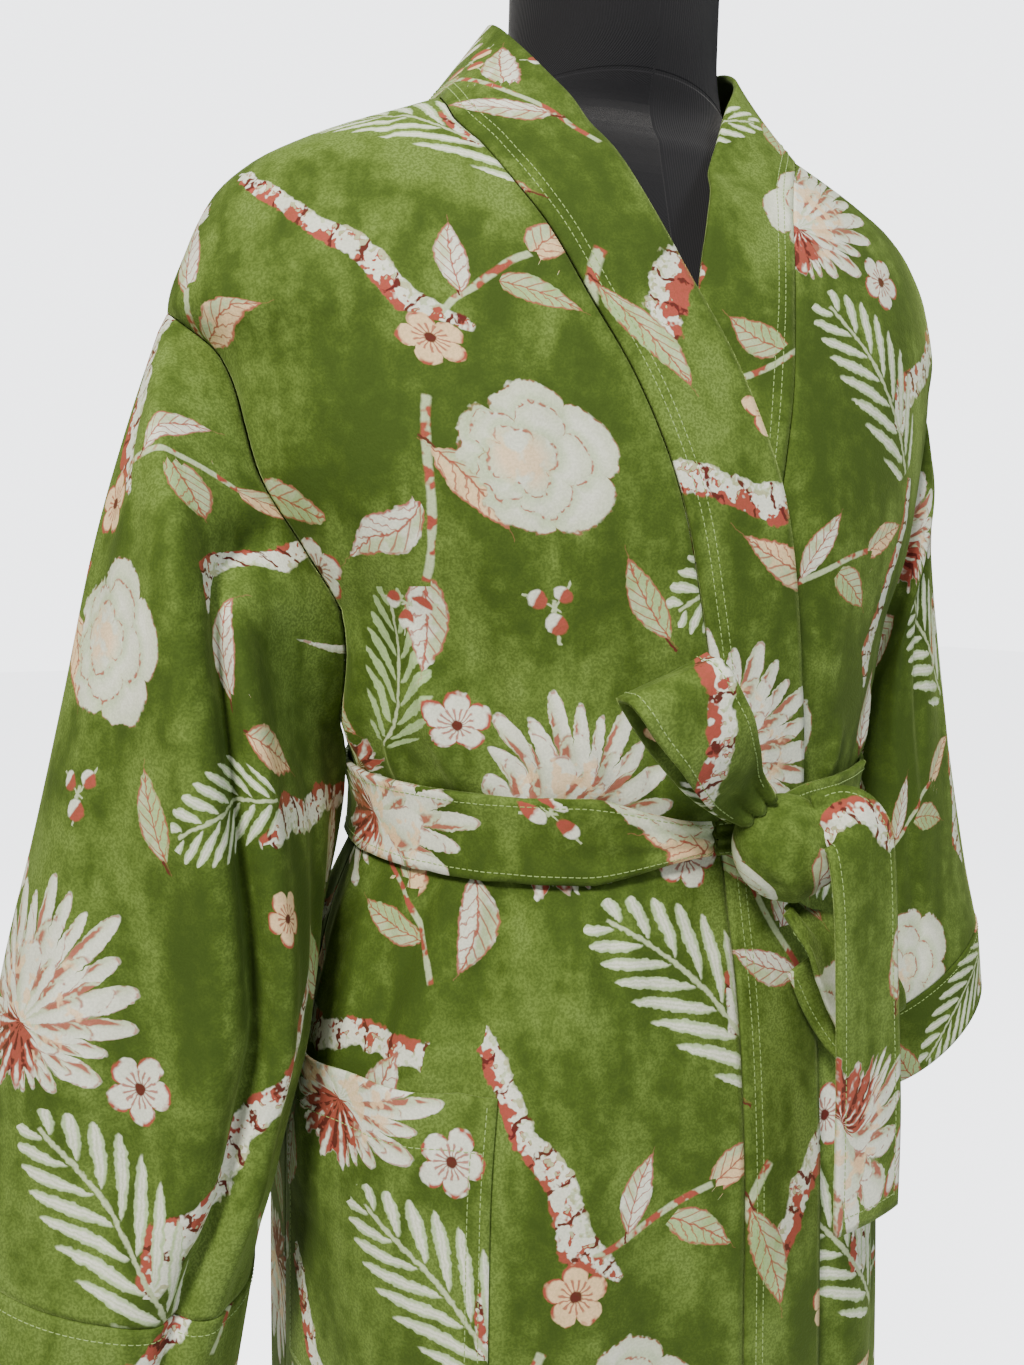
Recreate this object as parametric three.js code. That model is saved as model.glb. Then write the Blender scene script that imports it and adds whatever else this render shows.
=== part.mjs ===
// A velvet kimono robe, tied with its own belt, on a limbless dress form with a round stand.
// Millimetres, +Z up. The front looks toward -Y and the wearer's left is +X.
// The origin is on the floor under the middle of the stand.

import * as THREE from 'three';

// Driving sizes of the cloth
const clothWall = 1.8;
const bandWall = 3.0;
const bandProud = 1.0;
const seamGap = 0.3;
const hemHeight = 240;
const underLayerDepth = 5.2;
const underLayerEase = 26;
const underLayerReach = 4;
const neckbandEaseHeight = 18;
const cuffSeamShare = 0.012;
const cuffRingCount = 1;

// Heights that the robe hangs from
const frontTop = 1422;
const backTop = 1424;
const backNeckDip = 13;
const backNeckBottom = 1375;
const shoulderDropHeight = 1299;
const underarmHeight = 1085;
const armholeHalfDepth = 40;
const armholeHollow = 13;

// The waist belt
const beltWidth = 42;
const beltWall = 3.2;
const beltClear = 2.2;
const beltHold = 40;
const beltRows = 3;
const beltColumns = 46;
const beltGapTurn = 2;
const beltPinchTurn = 24;
const beltPinch = 0.42;
const beltCrown = 1.2;
const beltBunch = 3;
const beltFrontHeight = 1037;
const beltBackHeight = 1048;

// The dress form and its stand
const formBottom = 806;
const neckCapTop = 1546;
const poleRadius = 15;
const baseRadius = 215;
const baseThickness = 14;
const bossRadius = 34;
const bossHeight = 46;

// How finely the pieces are divided
const frontColumns = 17;
const backColumns = 24;
const armholeSteps = 13;
const formSides = 36;
const shoulderRowHeights = [1412, 1400, 1388, 1372, 1350, 1324];
const skirtRowHeights = [1064, 1038, 1014, 992, 962, 922, 874, 806, 738, 640, 510, 370, hemHeight];
const bandSeamTurn = 0.35;

// The robe's body: half widths to the wearer's right and left, and depths to the front and back
const bodySections = [
  { z: 1426, right: 104, left: 102, front: 48, back: 62, power: 2.0 },
  { z: 1412, right: 135, left: 126, front: 60, back: 73, power: 2.0 },
  { z: 1398, right: 168, left: 155, front: 70, back: 82, power: 2.0 },
  { z: 1387, right: 190, left: 176, front: 77, back: 90, power: 2.0 },
  { z: 1375, right: 209, left: 193, front: 84, back: 96, power: 2.05 },
  { z: 1358, right: 226, left: 206, front: 92, back: 103, power: 2.1 },
  { z: 1332, right: 239, left: 215, front: 102, back: 110, power: 2.15 },
  { z: 1300, right: 249, left: 219, front: 111, back: 116, power: 2.15 },
  { z: 1276, right: 234, left: 214, front: 117, back: 120, power: 2.15 },
  { z: 1240, right: 226, left: 207, front: 124, back: 124, power: 2.15 },
  { z: 1215, right: 219, left: 201, front: 128, back: 125, power: 2.15 },
  { z: 1180, right: 199, left: 192, front: 130, back: 124, power: 2.15 },
  { z: 1140, right: 176, left: 176, front: 130, back: 121, power: 2.1 },
  { z: 1105, right: 166, left: 167, front: 128, back: 118, power: 2.1 },
  { z: 1075, right: 158, left: 159, front: 126, back: 117, power: 2.1 },
  { z: 1040, right: 151, left: 153, front: 124, back: 116, power: 2.1 },
  { z: 1005, right: 160, left: 154, front: 128, back: 122, power: 2.1 },
  { z: 960, right: 176, left: 155, front: 136, back: 134, power: 2.1 },
  { z: 915, right: 190, left: 155, front: 144, back: 144, power: 2.1 },
  { z: 860, right: 198, left: 155, front: 151, back: 152, power: 2.1 },
  { z: 780, right: 200, left: 156, front: 156, back: 158, power: 2.1 },
  { z: 640, right: 203, left: 160, front: 160, back: 162, power: 2.1 },
  { z: 240, right: 212, left: 176, front: 168, back: 170, power: 2.1 },
];

// Both fronts: where the neckband's seam and its free edge cross the body, from the neck down
const rightFrontEdge = [
  { seamX: -108.5, seamZ: 1422, freeX: -76, freeZ: 1462 },
  { seamX: -113, seamZ: 1412, freeX: -74, freeZ: 1450 },
  { seamX: -114, seamZ: 1396, freeX: -68, freeZ: 1432 },
  { seamX: -104, seamZ: 1376, freeX: -52, freeZ: 1408 },
  { seamX: -94, seamZ: 1358, freeX: -39, freeZ: 1386 },
  { seamX: -80, seamZ: 1335, freeX: -26, freeZ: 1354 },
  { seamX: -62, seamZ: 1298, freeX: -11, freeZ: 1319 },
  { seamX: -44, seamZ: 1264, freeX: 7, freeZ: 1285 },
  { seamX: -32, seamZ: 1234, freeX: 21, freeZ: 1252 },
  { seamX: -20, seamZ: 1193, freeX: 36, freeZ: 1206 },
  { seamX: -11, seamZ: 1147, freeX: 45, freeZ: 1157 },
  { seamX: -4, seamZ: 1110, freeX: 51, freeZ: 1116 },
  { seamX: 2, seamZ: 1076, freeX: 57, freeZ: 1079 },
  { seamX: 4, seamZ: 1040, freeX: 60, freeZ: 1040 },
  { seamX: 6, seamZ: 1004, freeX: 62, freeZ: 1004 },
  { seamX: 8, seamZ: 958, freeX: 61, freeZ: 958 },
  { seamX: 6, seamZ: 880, freeX: 57, freeZ: 880 },
  { seamX: 3, seamZ: 780, freeX: 54, freeZ: 780 },
  { seamX: 0, seamZ: 430, freeX: 51, freeZ: 430 },
  { seamX: 0, seamZ: 240, freeX: 51, freeZ: 240 },
];
const leftFrontEdge = [
  { seamX: 107, seamZ: 1422, freeX: 75, freeZ: 1461 },
  { seamX: 101, seamZ: 1412, freeX: 66, freeZ: 1449 },
  { seamX: 88, seamZ: 1398, freeX: 50, freeZ: 1430 },
  { seamX: 74, seamZ: 1380, freeX: 33, freeZ: 1400 },
  { seamX: 64, seamZ: 1356, freeX: 14, freeZ: 1364 },
  { seamX: 56, seamZ: 1320, freeX: 1, freeZ: 1324 },
  { seamX: 46, seamZ: 1262, freeX: -9, freeZ: 1268 },
  { seamX: 38, seamZ: 1212, freeX: -17, freeZ: 1220 },
  { seamX: 22, seamZ: 1160, freeX: -33, freeZ: 1168 },
  { seamX: 7, seamZ: 1104, freeX: -48, freeZ: 1110 },
  { seamX: -1, seamZ: 1060, freeX: -56, freeZ: 1064 },
  { seamX: -3, seamZ: 1010, freeX: -58, freeZ: 1010 },
  { seamX: -3, seamZ: 900, freeX: -56, freeZ: 900 },
  { seamX: 0, seamZ: 640, freeX: -52, freeZ: 640 },
  { seamX: 0, seamZ: 240, freeX: -51, freeZ: 240 },
];

// The neckband's free edge round the back of the neck: share is 0 behind and 1 at the shoulder
const collarRows = [
  { share: 0, freeX: 0, freeY: 60, freeZ: 1466 },
  { share: 0.35, freeX: 32, freeY: 55, freeZ: 1468 },
  { share: 0.65, freeX: 58, freeY: 38, freeZ: 1472 },
  { share: 0.85, freeX: 72, freeY: 16, freeZ: 1474 },
  { share: 1, freeX: 77, freeY: -6, freeZ: 1471 },
];

// Beside the neck the free edge stands off the body at its own depth
const collarFrontRows = [
  { seamZ: 1422, freeY: -18 },
  { seamZ: 1412, freeY: -32 },
  { seamZ: 1396, freeY: -50 },
  { seamZ: 1376, freeY: -66 },
];
const collarEndHeight = 1358;

// Soft folds, each from a top height to a bottom one; turn is degrees from the front centre
const folds = [
  { turn: -72, lean: -8, top: 1150, bottom: 1010, wide: 7.5, high: 9 },
  { turn: -58, lean: 5, top: 1130, bottom: 1015, wide: 7, high: 8 },
  { turn: -84, lean: -3, top: 1125, bottom: 960, wide: 7, high: 7.5 },
  { turn: -40, lean: 9, top: 1120, bottom: 1020, wide: 7, high: 5 },
  { turn: -24, lean: 8, top: 1100, bottom: 1020, wide: 7, high: 4.2 },
  { turn: -70, lean: -6, top: 1040, bottom: 830, wide: 8, high: 7.5 },
  { turn: -52, lean: 3, top: 1040, bottom: 700, wide: 8, high: 7 },
  { turn: -26, lean: 5, top: 1040, bottom: 560, wide: 9, high: 6.5 },
  { turn: -104, lean: -4, top: 1120, bottom: 420, wide: 8, high: 8.5 },
  { turn: -122, lean: 4, top: 1140, bottom: 560, wide: 9, high: 8.5 },
  { turn: -140, lean: -5, top: 1120, bottom: 380, wide: 9, high: 9.5 },
  { turn: -160, lean: 3, top: 1130, bottom: 520, wide: 9, high: 8 },
  { turn: 178, lean: -3, top: 1150, bottom: 340, wide: 10, high: 9.5 },
  { turn: 158, lean: 4, top: 1130, bottom: 500, wide: 9, high: 8.5 },
  { turn: 136, lean: -4, top: 1140, bottom: 400, wide: 9, high: 9.5 },
  { turn: 116, lean: 5, top: 1130, bottom: 560, wide: 8, high: 8 },
  { turn: 100, lean: -3, top: 1120, bottom: 440, wide: 8, high: 7.5 },
  { turn: 82, lean: 3, top: 1150, bottom: 520, wide: 8, high: 7 },
  { turn: 62, lean: -6, top: 1140, bottom: 420, wide: 8, high: 8 },
  { turn: 42, lean: -5, top: 1130, bottom: 600, wide: 7, high: 5 },
];

// Sleeves as rings: outer and inner side, depths, where the front crease lies,
// and how hollow the cloth is between that crease and the inner side
const rightSleeveRings = [
  { outX: -254, outZ: 1290, inX: -162, inZ: 1079, front: 58, back: 54, crease: -14, hollow: 1.5 },
  { outX: -261, outZ: 1270, inX: -161, inZ: 1068, front: 76, back: 66, crease: -26, hollow: 2.2 },
  { outX: -272, outZ: 1237, inX: -162, inZ: 1050, front: 85, back: 72, crease: -22, hollow: 2.2 },
  { outX: -288, outZ: 1182, inX: -166, inZ: 1024, front: 88, back: 76, crease: -10, hollow: 1.9 },
  { outX: -305, outZ: 1106, inX: -175, inZ: 985, front: 89, back: 78, crease: 6, hollow: 1.6 },
  { outX: -321, outZ: 1038, inX: -185, inZ: 948, front: 88, back: 78, crease: 22, hollow: 1.4 },
  { outX: -337, outZ: 975, inX: -198, inZ: 908, front: 86, back: 76, crease: 34, hollow: 1.2 },
  { outX: -349, outZ: 915, inX: -209, inZ: 866, front: 84, back: 75, crease: 34, hollow: 1.1 },
  { outX: -357, outZ: 866, inX: -215, inZ: 830, front: 84, back: 75, crease: 24, hollow: 1 },
  { outX: -362, outZ: 834, inX: -219, inZ: 803, front: 84, back: 75, crease: 16, hollow: 1 },
  { outX: -368, outZ: 776, inX: -229, inZ: 745, front: 86, back: 77, crease: 8, hollow: 1 },
];
const leftSleeveRings = [
  { outX: 223, outZ: 1290, inX: 163, inZ: 1079, front: 50, back: 60, crease: 0, hollow: 1.3 },
  { outX: 226, outZ: 1268, inX: 162, inZ: 1068, front: 52, back: 78, crease: 0, hollow: 1.5 },
  { outX: 230, outZ: 1230, inX: 162, inZ: 1052, front: 48, back: 92, crease: -6, hollow: 1.5 },
  { outX: 238, outZ: 1180, inX: 163, inZ: 1028, front: 45, back: 104, crease: -12, hollow: 1.3 },
  { outX: 252, outZ: 1116, inX: 165, inZ: 994, front: 43, back: 112, crease: -17, hollow: 1.2 },
  { outX: 265, outZ: 1060, inX: 168, inZ: 960, front: 43, back: 114, crease: -19, hollow: 1.1 },
  { outX: 277, outZ: 1008, inX: 171, inZ: 926, front: 43, back: 114, crease: -21, hollow: 1 },
  { outX: 287, outZ: 966, inX: 175, inZ: 896, front: 43, back: 112, crease: -19, hollow: 1 },
  { outX: 294, outZ: 940, inX: 179, inZ: 874, front: 44, back: 110, crease: -16, hollow: 1 },
  { outX: 297, outZ: 928, inX: 181, inZ: 864, front: 44, back: 110, crease: -13, hollow: 1 },
  { outX: 301, outZ: 884, inX: 189, inZ: 814, front: 46, back: 112, crease: -8, hollow: 1 },
];

// Folds along a sleeve: angle is degrees round it, from its outer edge toward the front;
// start and end count rings
const rightSleeveFolds = [
  { angle: 60, lean: 14, start: 0.6, end: 5.5, wide: 15, high: 6.5 },
  { angle: 100, lean: -12, start: 1.2, end: 7.0, wide: 13, high: 6 },
  { angle: 28, lean: 8, start: 3.0, end: 8.8, wide: 13, high: 5 },
  { angle: 135, lean: -14, start: 2.0, end: 5.5, wide: 12, high: 5.5 },
  { angle: 80, lean: 10, start: 5.0, end: 8.9, wide: 12, high: 4.5 },
  { angle: 215, lean: 12, start: 0.8, end: 5.5, wide: 15, high: 6 },
  { angle: 250, lean: -8, start: 2.0, end: 7.5, wide: 15, high: 6 },
  { angle: 290, lean: 10, start: 1.5, end: 6.5, wide: 15, high: 6 },
  { angle: 325, lean: -6, start: 3.0, end: 8.8, wide: 14, high: 5 },
];
const leftSleeveFolds = [
  { angle: 50, lean: 10, start: 0.8, end: 5.0, wide: 14, high: 4.5 },
  { angle: 88, lean: -8, start: 1.4, end: 7.0, wide: 13, high: 4 },
  { angle: 120, lean: 8, start: 3.5, end: 8.6, wide: 13, high: 3.5 },
  { angle: 205, lean: -10, start: 0.8, end: 5.0, wide: 15, high: 5.5 },
  { angle: 240, lean: 9, start: 1.6, end: 7.0, wide: 15, high: 6 },
  { angle: 278, lean: -8, start: 2.4, end: 8.2, wide: 15, high: 5.5 },
  { angle: 315, lean: 8, start: 1.0, end: 6.0, wide: 15, high: 4.5 },
];

// The pocket, as shares of the right front from its neckband seam to its side, and its heights
const pocketFrontShare = 0.43;
const pocketBackShare = 0.95;
const pocketTop = 918;
const pocketBottom = 738;
const pocketWall = 1.6;
const pocketClear = 0.5;

// The bow: each strip's middle line, its width there, and the way its width points
const upperLoopRows = [
  { x: 2.8, y: -158, z: 1055.3, wide: 20, acrossX: 0.72, acrossY: -0.2, acrossZ: 0.66 },
  { x: -12, y: -163, z: 1067, wide: 28, acrossX: 0.78, acrossY: -0.1, acrossZ: 0.62 },
  { x: -28, y: -178, z: 1081, wide: 36, acrossX: 0.8, acrossY: -0.08, acrossZ: 0.6 },
  { x: -42, y: -187, z: 1098, wide: 42, acrossX: 0.86, acrossY: -0.05, acrossZ: 0.5 },
  { x: -54, y: -188, z: 1114, wide: 46, acrossX: 0.9, acrossY: -0.02, acrossZ: 0.42 },
  { x: -59, y: -182, z: 1122, wide: 47, acrossX: 0.92, acrossY: 0, acrossZ: 0.38 },
  { x: -58, y: -173, z: 1122, wide: 46, acrossX: 0.92, acrossY: 0, acrossZ: 0.38 },
  { x: -51, y: -165, z: 1112, wide: 42, acrossX: 0.9, acrossY: 0, acrossZ: 0.42 },
  { x: -38, y: -157, z: 1094, wide: 36, acrossX: 0.86, acrossY: 0, acrossZ: 0.5 },
  { x: -22, y: -151, z: 1074, wide: 28, acrossX: 0.8, acrossY: 0, acrossZ: 0.6 },
  { x: -0.5, y: -148, z: 1056, wide: 20, acrossX: 0.72, acrossY: 0, acrossZ: 0.66 },
];
const lowerLoopRows = [
  { x: 24, y: -155, z: 1006.2, wide: 19, acrossX: 0.45, acrossY: 0.75, acrossZ: 0.48 },
  { x: 34, y: -160, z: 994, wide: 28, acrossX: 0.55, acrossY: 0.6, acrossZ: 0.58 },
  { x: 46, y: -160, z: 982, wide: 36, acrossX: 0.7, acrossY: 0.35, acrossZ: 0.62 },
  { x: 62, y: -158, z: 964, wide: 42, acrossX: 0.78, acrossY: 0.15, acrossZ: 0.6 },
  { x: 74, y: -158, z: 946, wide: 44, acrossX: 0.84, acrossY: 0.05, acrossZ: 0.54 },
  { x: 78, y: -154, z: 934, wide: 44, acrossX: 0.86, acrossY: 0, acrossZ: 0.5 },
  { x: 75, y: -148, z: 934, wide: 42, acrossX: 0.86, acrossY: 0, acrossZ: 0.5 },
  { x: 62, y: -144, z: 950, wide: 38, acrossX: 0.84, acrossY: 0, acrossZ: 0.54 },
  { x: 46, y: -143, z: 974, wide: 30, acrossX: 0.8, acrossY: 0, acrossZ: 0.6 },
];
const tailRows = [
  { x: 33, y: -167, z: 1062.5, wide: 29, acrossX: 0.3, acrossY: 0.1, acrossZ: -0.95 },
  { x: 41, y: -173, z: 1065, wide: 38, acrossX: 0.62, acrossY: 0.1, acrossZ: -0.78 },
  { x: 46, y: -177, z: 1056, wide: 42, acrossX: 0.93, acrossY: 0.14, acrossZ: -0.34 },
  { x: 47, y: -180, z: 1035, wide: 44, acrossX: 0.98, acrossY: 0.16, acrossZ: -0.08 },
  { x: 49, y: -181, z: 1005, wide: 44, acrossX: 0.98, acrossY: 0.18, acrossZ: -0.02 },
  { x: 51, y: -181, z: 970, wide: 44, acrossX: 0.98, acrossY: 0.2, acrossZ: 0 },
  { x: 54, y: -180, z: 930, wide: 44, acrossX: 0.98, acrossY: 0.2, acrossZ: 0 },
  { x: 57, y: -178, z: 890, wide: 45, acrossX: 0.98, acrossY: 0.2, acrossZ: 0.02 },
  { x: 59, y: -176, z: 848, wide: 45, acrossX: 0.98, acrossY: 0.2, acrossZ: 0.04 },
];
const stripWall = 2.6;
const knotMiddle = { x: 22, y: -153, z: 1035 };
const knotHalf = { x: 28, y: 21.6, z: 26 };
const knotLean = 38;

// The dress form under the robe: half width, and depths to the front and back
const formSections = [
  { z: 806, half: 136, front: 96, back: 100 },
  { z: 812, half: 142, front: 102, back: 106 },
  { z: 860, half: 149, front: 112, back: 120 },
  { z: 920, half: 147, front: 112, back: 118 },
  { z: 980, half: 133, front: 104, back: 100 },
  { z: 1040, half: 119, front: 96, back: 88 },
  { z: 1100, half: 126, front: 100, back: 92 },
  { z: 1180, half: 143, front: 108, back: 100 },
  { z: 1250, half: 158, front: 103, back: 102 },
  { z: 1310, half: 180, front: 86, back: 94 },
  { z: 1345, half: 190, front: 74, back: 84 },
  { z: 1366, half: 184, front: 68, back: 76 },
  { z: 1380, half: 177, front: 64, back: 70 },
  { z: 1390, half: 164.3, front: 61, back: 64 },
  { z: 1398, half: 149.2, front: 59, back: 60 },
  { z: 1408, half: 126, front: 52, back: 54 },
  { z: 1420, half: 84, front: 48, back: 50 },
  { z: 1436, half: 68, front: 52, back: 48 },
  { z: 1460, half: 62, front: 58, back: 45 },
  { z: 1500, half: 61, front: 64, back: 40 },
  { z: 1534, half: 61, front: 66, back: 38 },
];

const radians = (degrees) => degrees * Math.PI / 180;
const degrees = (angle) => angle * 180 / Math.PI;
const mix = (a, b, share) => a + (b - a) * share;
const clamp = (value, low, high) => Math.min(high, Math.max(low, value));
const ease = (share) => share * share * (3 - 2 * share);
const signedPower = (value, power) => Math.sign(value) * Math.abs(value) ** power;

// Every column of a table at one height, on a smooth line that never passes its rows
function readTable(rows, key, at) {
  const rising = rows[0][key] < rows[rows.length - 1][key];
  const sorted = rising ? rows : [...rows].reverse();
  const last = sorted.length - 1;
  const place = clamp(at, sorted[0][key], sorted[last][key]);
  let i = 0;
  while (i < last - 1 && place > sorted[i + 1][key]) i += 1;
  const span = sorted[i + 1][key] - sorted[i][key];
  const share = (place - sorted[i][key]) / span;
  const rise = (k, name) => {
    const step = sorted[k + 1][key] - sorted[k][key];
    return (sorted[k + 1][name] - sorted[k][name]) / step;
  };
  const slope = (k, name) => {
    if (k === 0) return rise(0, name);
    if (k === last) return rise(last - 1, name);
    const before = rise(k - 1, name);
    const after = rise(k, name);
    return before * after <= 0 ? 0 : 2 * before * after / (before + after);
  };
  const found = {};
  for (const name of Object.keys(sorted[i])) {
    const a = sorted[i][name];
    const b = sorted[i + 1][name];
    const start = slope(i, name) * span;
    const end = slope(i + 1, name) * span;
    const s = share;
    found[name] = a * (2 * s ** 3 - 3 * s * s + 1) + start * (s ** 3 - 2 * s * s + s)
      + b * (3 * s * s - 2 * s ** 3) + end * (s ** 3 - s * s);
  }
  return found;
}

// How much the folds lift the cloth at one turn and height; the belt holds them flat
function foldLift(turn, z) {
  const fromBelt = Math.abs(z - beltHeight(turn)) / beltHold;
  const free = 1 - Math.exp(-(fromBelt ** 4));
  let lift = 0;
  for (const fold of folds) {
    if (z > fold.top || z < fold.bottom) continue;
    const along = (fold.top - z) / (fold.top - fold.bottom);
    let away = turn - (fold.turn + fold.lean * along);
    away -= 360 * Math.round(away / 360);
    const fade = Math.sin(Math.PI * clamp(along, 0, 1)) ** 0.8;
    lift += fold.high * fade * Math.exp(-((away / fold.wide) ** 2));
  }
  return lift * free;
}

// The belt sits a little lower in front than behind
function beltHeight(turn) {
  return mix(beltBackHeight, beltFrontHeight, (1 + Math.cos(radians(turn))) / 2);
}

// A point of the robe's outer surface: turn is 0 in front, 90 at the wearer's left, 180 behind
function bodyPoint(turn, z, out = 0) {
  const row = readTable(bodySections, 'z', z);
  const sine = Math.sin(radians(turn));
  const cosine = Math.cos(radians(turn));
  const half = sine < 0 ? row.right : row.left;
  const depth = cosine > 0 ? row.front : row.back;
  const point = new THREE.Vector3(
    half * signedPower(sine, 2 / row.power),
    -depth * signedPower(cosine, 2 / row.power),
    z,
  );
  const middle = (shoulderDropHeight + underarmHeight) / 2;
  const reach = (shoulderDropHeight - underarmHeight) / 2;
  const inArmhole = clamp(1 - ((z - middle) / reach) ** 2, 0, 1);
  const hollow = armholeHollow * inArmhole * Math.exp(-((point.y / armholeHalfDepth) ** 2));
  point.x -= Math.sign(point.x) * hollow;
  const away = new THREE.Vector3(point.x / half ** 2, point.y / depth ** 2, 0).normalize();
  return point.addScaledVector(away, foldLift(turn, z) + out);
}

// The outward direction of the robe's surface, from points close by
function bodyNormal(turn, z) {
  const step = 0.4;
  const across = bodyPoint(turn + step, z).sub(bodyPoint(turn - step, z));
  const up = bodyPoint(turn, z + step).sub(bodyPoint(turn, z - step));
  return across.cross(up).normalize();
}

// The turn at which a front point of the body has a given X
function turnAtX(x, z) {
  const row = readTable(bodySections, 'z', z);
  const half = x < 0 ? row.right : row.left;
  return Math.sign(x) * degrees(Math.asin(clamp(Math.abs(x) / half, 0, 1) ** (row.power / 2)));
}

// How far the armhole seam stands from the side, as a turn, on the front or the back
function armholeTurn(z, depth, power) {
  const middle = (shoulderDropHeight + underarmHeight) / 2;
  const reach = (shoulderDropHeight - underarmHeight) / 2;
  const height = clamp((z - middle) / reach, -1, 1);
  const opening = armholeHalfDepth * Math.sqrt(1 - height * height);
  return degrees(Math.acos(clamp(opening / depth, 0, 1) ** (power / 2)));
}

// The turn where a front panel ends, at the shoulder, the armhole or the side seam
function frontSideTurn(z) {
  const row = readTable(bodySections, 'z', z);
  return armholeTurn(z, row.front, row.power) - seamTurn(row);
}

function backSideTurn(z) {
  const row = readTable(bodySections, 'z', z);
  return 180 - armholeTurn(z, row.back, row.power) + seamTurn(row);
}

function seamTurn(row) {
  return degrees(seamGap / 2 / row.front) + 0.02;
}

// One front edge table at a height: where its neckband seam lies
function seamAt(rows, z) {
  return readTable(rows.map((row) => ({ x: row.seamX, z: row.seamZ })), 'z', z).x;
}

// How deep the left front goes under the right one
function underDepth(x, z) {
  const rightFree = readTable(rightFrontEdge.map((row) => ({ x: row.freeX, z: row.freeZ })), 'z', z).x;
  const under = (rightFree + underLayerEase + underLayerReach - x) / underLayerEase;
  return underLayerDepth * ease(clamp(under, 0, 1));
}

// The rows' heights, the same on every panel so that seams meet point to point
function panelHeights(top) {
  const heights = [top, ...shoulderRowHeights];
  for (let k = 0; k <= armholeSteps; k += 1) heights.push(armholeHeight(k));
  return [...heights, ...skirtRowHeights];
}

function armholeHeight(k) {
  const middle = (shoulderDropHeight + underarmHeight) / 2;
  const reach = (shoulderDropHeight - underarmHeight) / 2;
  return middle + reach * Math.cos(Math.PI * k / armholeSteps);
}

// A closed wall from an outer and an inner grid; around says that the last column meets the first
function wall(outer, inner, around) {
  const rows = outer.length;
  const columns = outer[0].length;
  const positions = [];
  for (const grid of [outer, inner]) {
    for (const row of grid) {
      for (const point of row) positions.push(point.x, point.y, point.z);
    }
  }
  const index = [];
  const at = (layer, i, j) => layer * rows * columns + i * columns + (j % columns);
  const quad = (a, b, c, d) => index.push(a, b, c, a, c, d);
  const spans = around ? columns : columns - 1;
  for (let i = 0; i < rows - 1; i += 1) {
    for (let j = 0; j < spans; j += 1) {
      quad(at(0, i, j), at(0, i + 1, j), at(0, i + 1, j + 1), at(0, i, j + 1));
      quad(at(1, i, j), at(1, i, j + 1), at(1, i + 1, j + 1), at(1, i + 1, j));
    }
  }
  for (let j = 0; j < spans; j += 1) {
    quad(at(0, 0, j), at(0, 0, j + 1), at(1, 0, j + 1), at(1, 0, j));
    quad(at(0, rows - 1, j), at(1, rows - 1, j), at(1, rows - 1, j + 1), at(0, rows - 1, j + 1));
  }
  if (!around) {
    const end = columns - 1;
    for (let i = 0; i < rows - 1; i += 1) {
      quad(at(0, i, 0), at(1, i, 0), at(1, i + 1, 0), at(0, i + 1, 0));
      quad(at(0, i, end), at(0, i + 1, end), at(1, i + 1, end), at(1, i, end));
    }
  }
  return facingOut(positions, index);
}

// A closed mesh, turned so that its faces point out
function facingOut(positions, index) {
  const corner = (k) => new THREE.Vector3().fromArray(positions, 3 * index[k]);
  let volume = 0;
  for (let k = 0; k < index.length; k += 3) {
    volume += corner(k).dot(corner(k + 1).cross(corner(k + 2)));
  }
  const geometry = new THREE.BufferGeometry();
  geometry.setAttribute('position', new THREE.Float32BufferAttribute(positions, 3));
  geometry.setIndex(volume < 0 ? [...index].reverse() : index);
  return geometry;
}

// A wall of cloth over the body: place gives a turn, a height and how far out its face lies
function bodyWall(heights, columns, place, thickness) {
  const outer = [];
  const inner = [];
  heights.forEach((height) => {
    const outerRow = [];
    const innerRow = [];
    for (let j = 0; j <= columns; j += 1) {
      const spot = place(j / columns, height);
      const normal = bodyNormal(spot.turn, spot.z);
      const point = bodyPoint(spot.turn, spot.z).addScaledVector(normal, spot.out);
      outerRow.push(point);
      innerRow.push(point.clone().addScaledVector(normal, -thickness));
    }
    outer.push(outerRow);
    inner.push(innerRow);
  });
  return wall(outer, inner, false);
}

function rightFrontPlace(share, z) {
  const seam = turnAtX(seamAt(rightFrontEdge, z), z) - bandSeamTurn;
  return { turn: mix(seam, -frontSideTurn(z), share), z, out: 0 };
}

function rightFront() {
  return bodyWall(panelHeights(frontTop), frontColumns, rightFrontPlace, clothWall);
}

// Columns run from the wearer's left side inward, so that faces point out
function leftFront() {
  const place = (share, z) => {
    const seam = turnAtX(seamAt(leftFrontEdge, z), z) + bandSeamTurn;
    const turn = mix(frontSideTurn(z), seam, share);
    return { turn, z, out: -underDepth(bodyPoint(turn, z).x, z) };
  };
  return bodyWall(panelHeights(frontTop), frontColumns, place, clothWall);
}

// Columns of the back run from the wearer's right to the left
function backPlace(share, height) {
  const near = clamp((height - backNeckBottom) / (backTop - backNeckBottom), 0, 1);
  const dip = backNeckDip * near * (1 - (2 * share - 1) ** 2);
  const turn = mix(360 - backSideTurn(height), backSideTurn(height), share);
  return { turn, z: height - dip, out: 0 };
}

function back() {
  return bodyWall(panelHeights(backTop), backColumns, backPlace, clothWall);
}

// A point of the neckband on the body, at an X and a height
function bandPoint(x, z, depth) {
  const turn = turnAtX(x, z);
  return bodyPoint(turn, z).addScaledVector(bodyNormal(turn, z), bandProud - depth);
}

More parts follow.
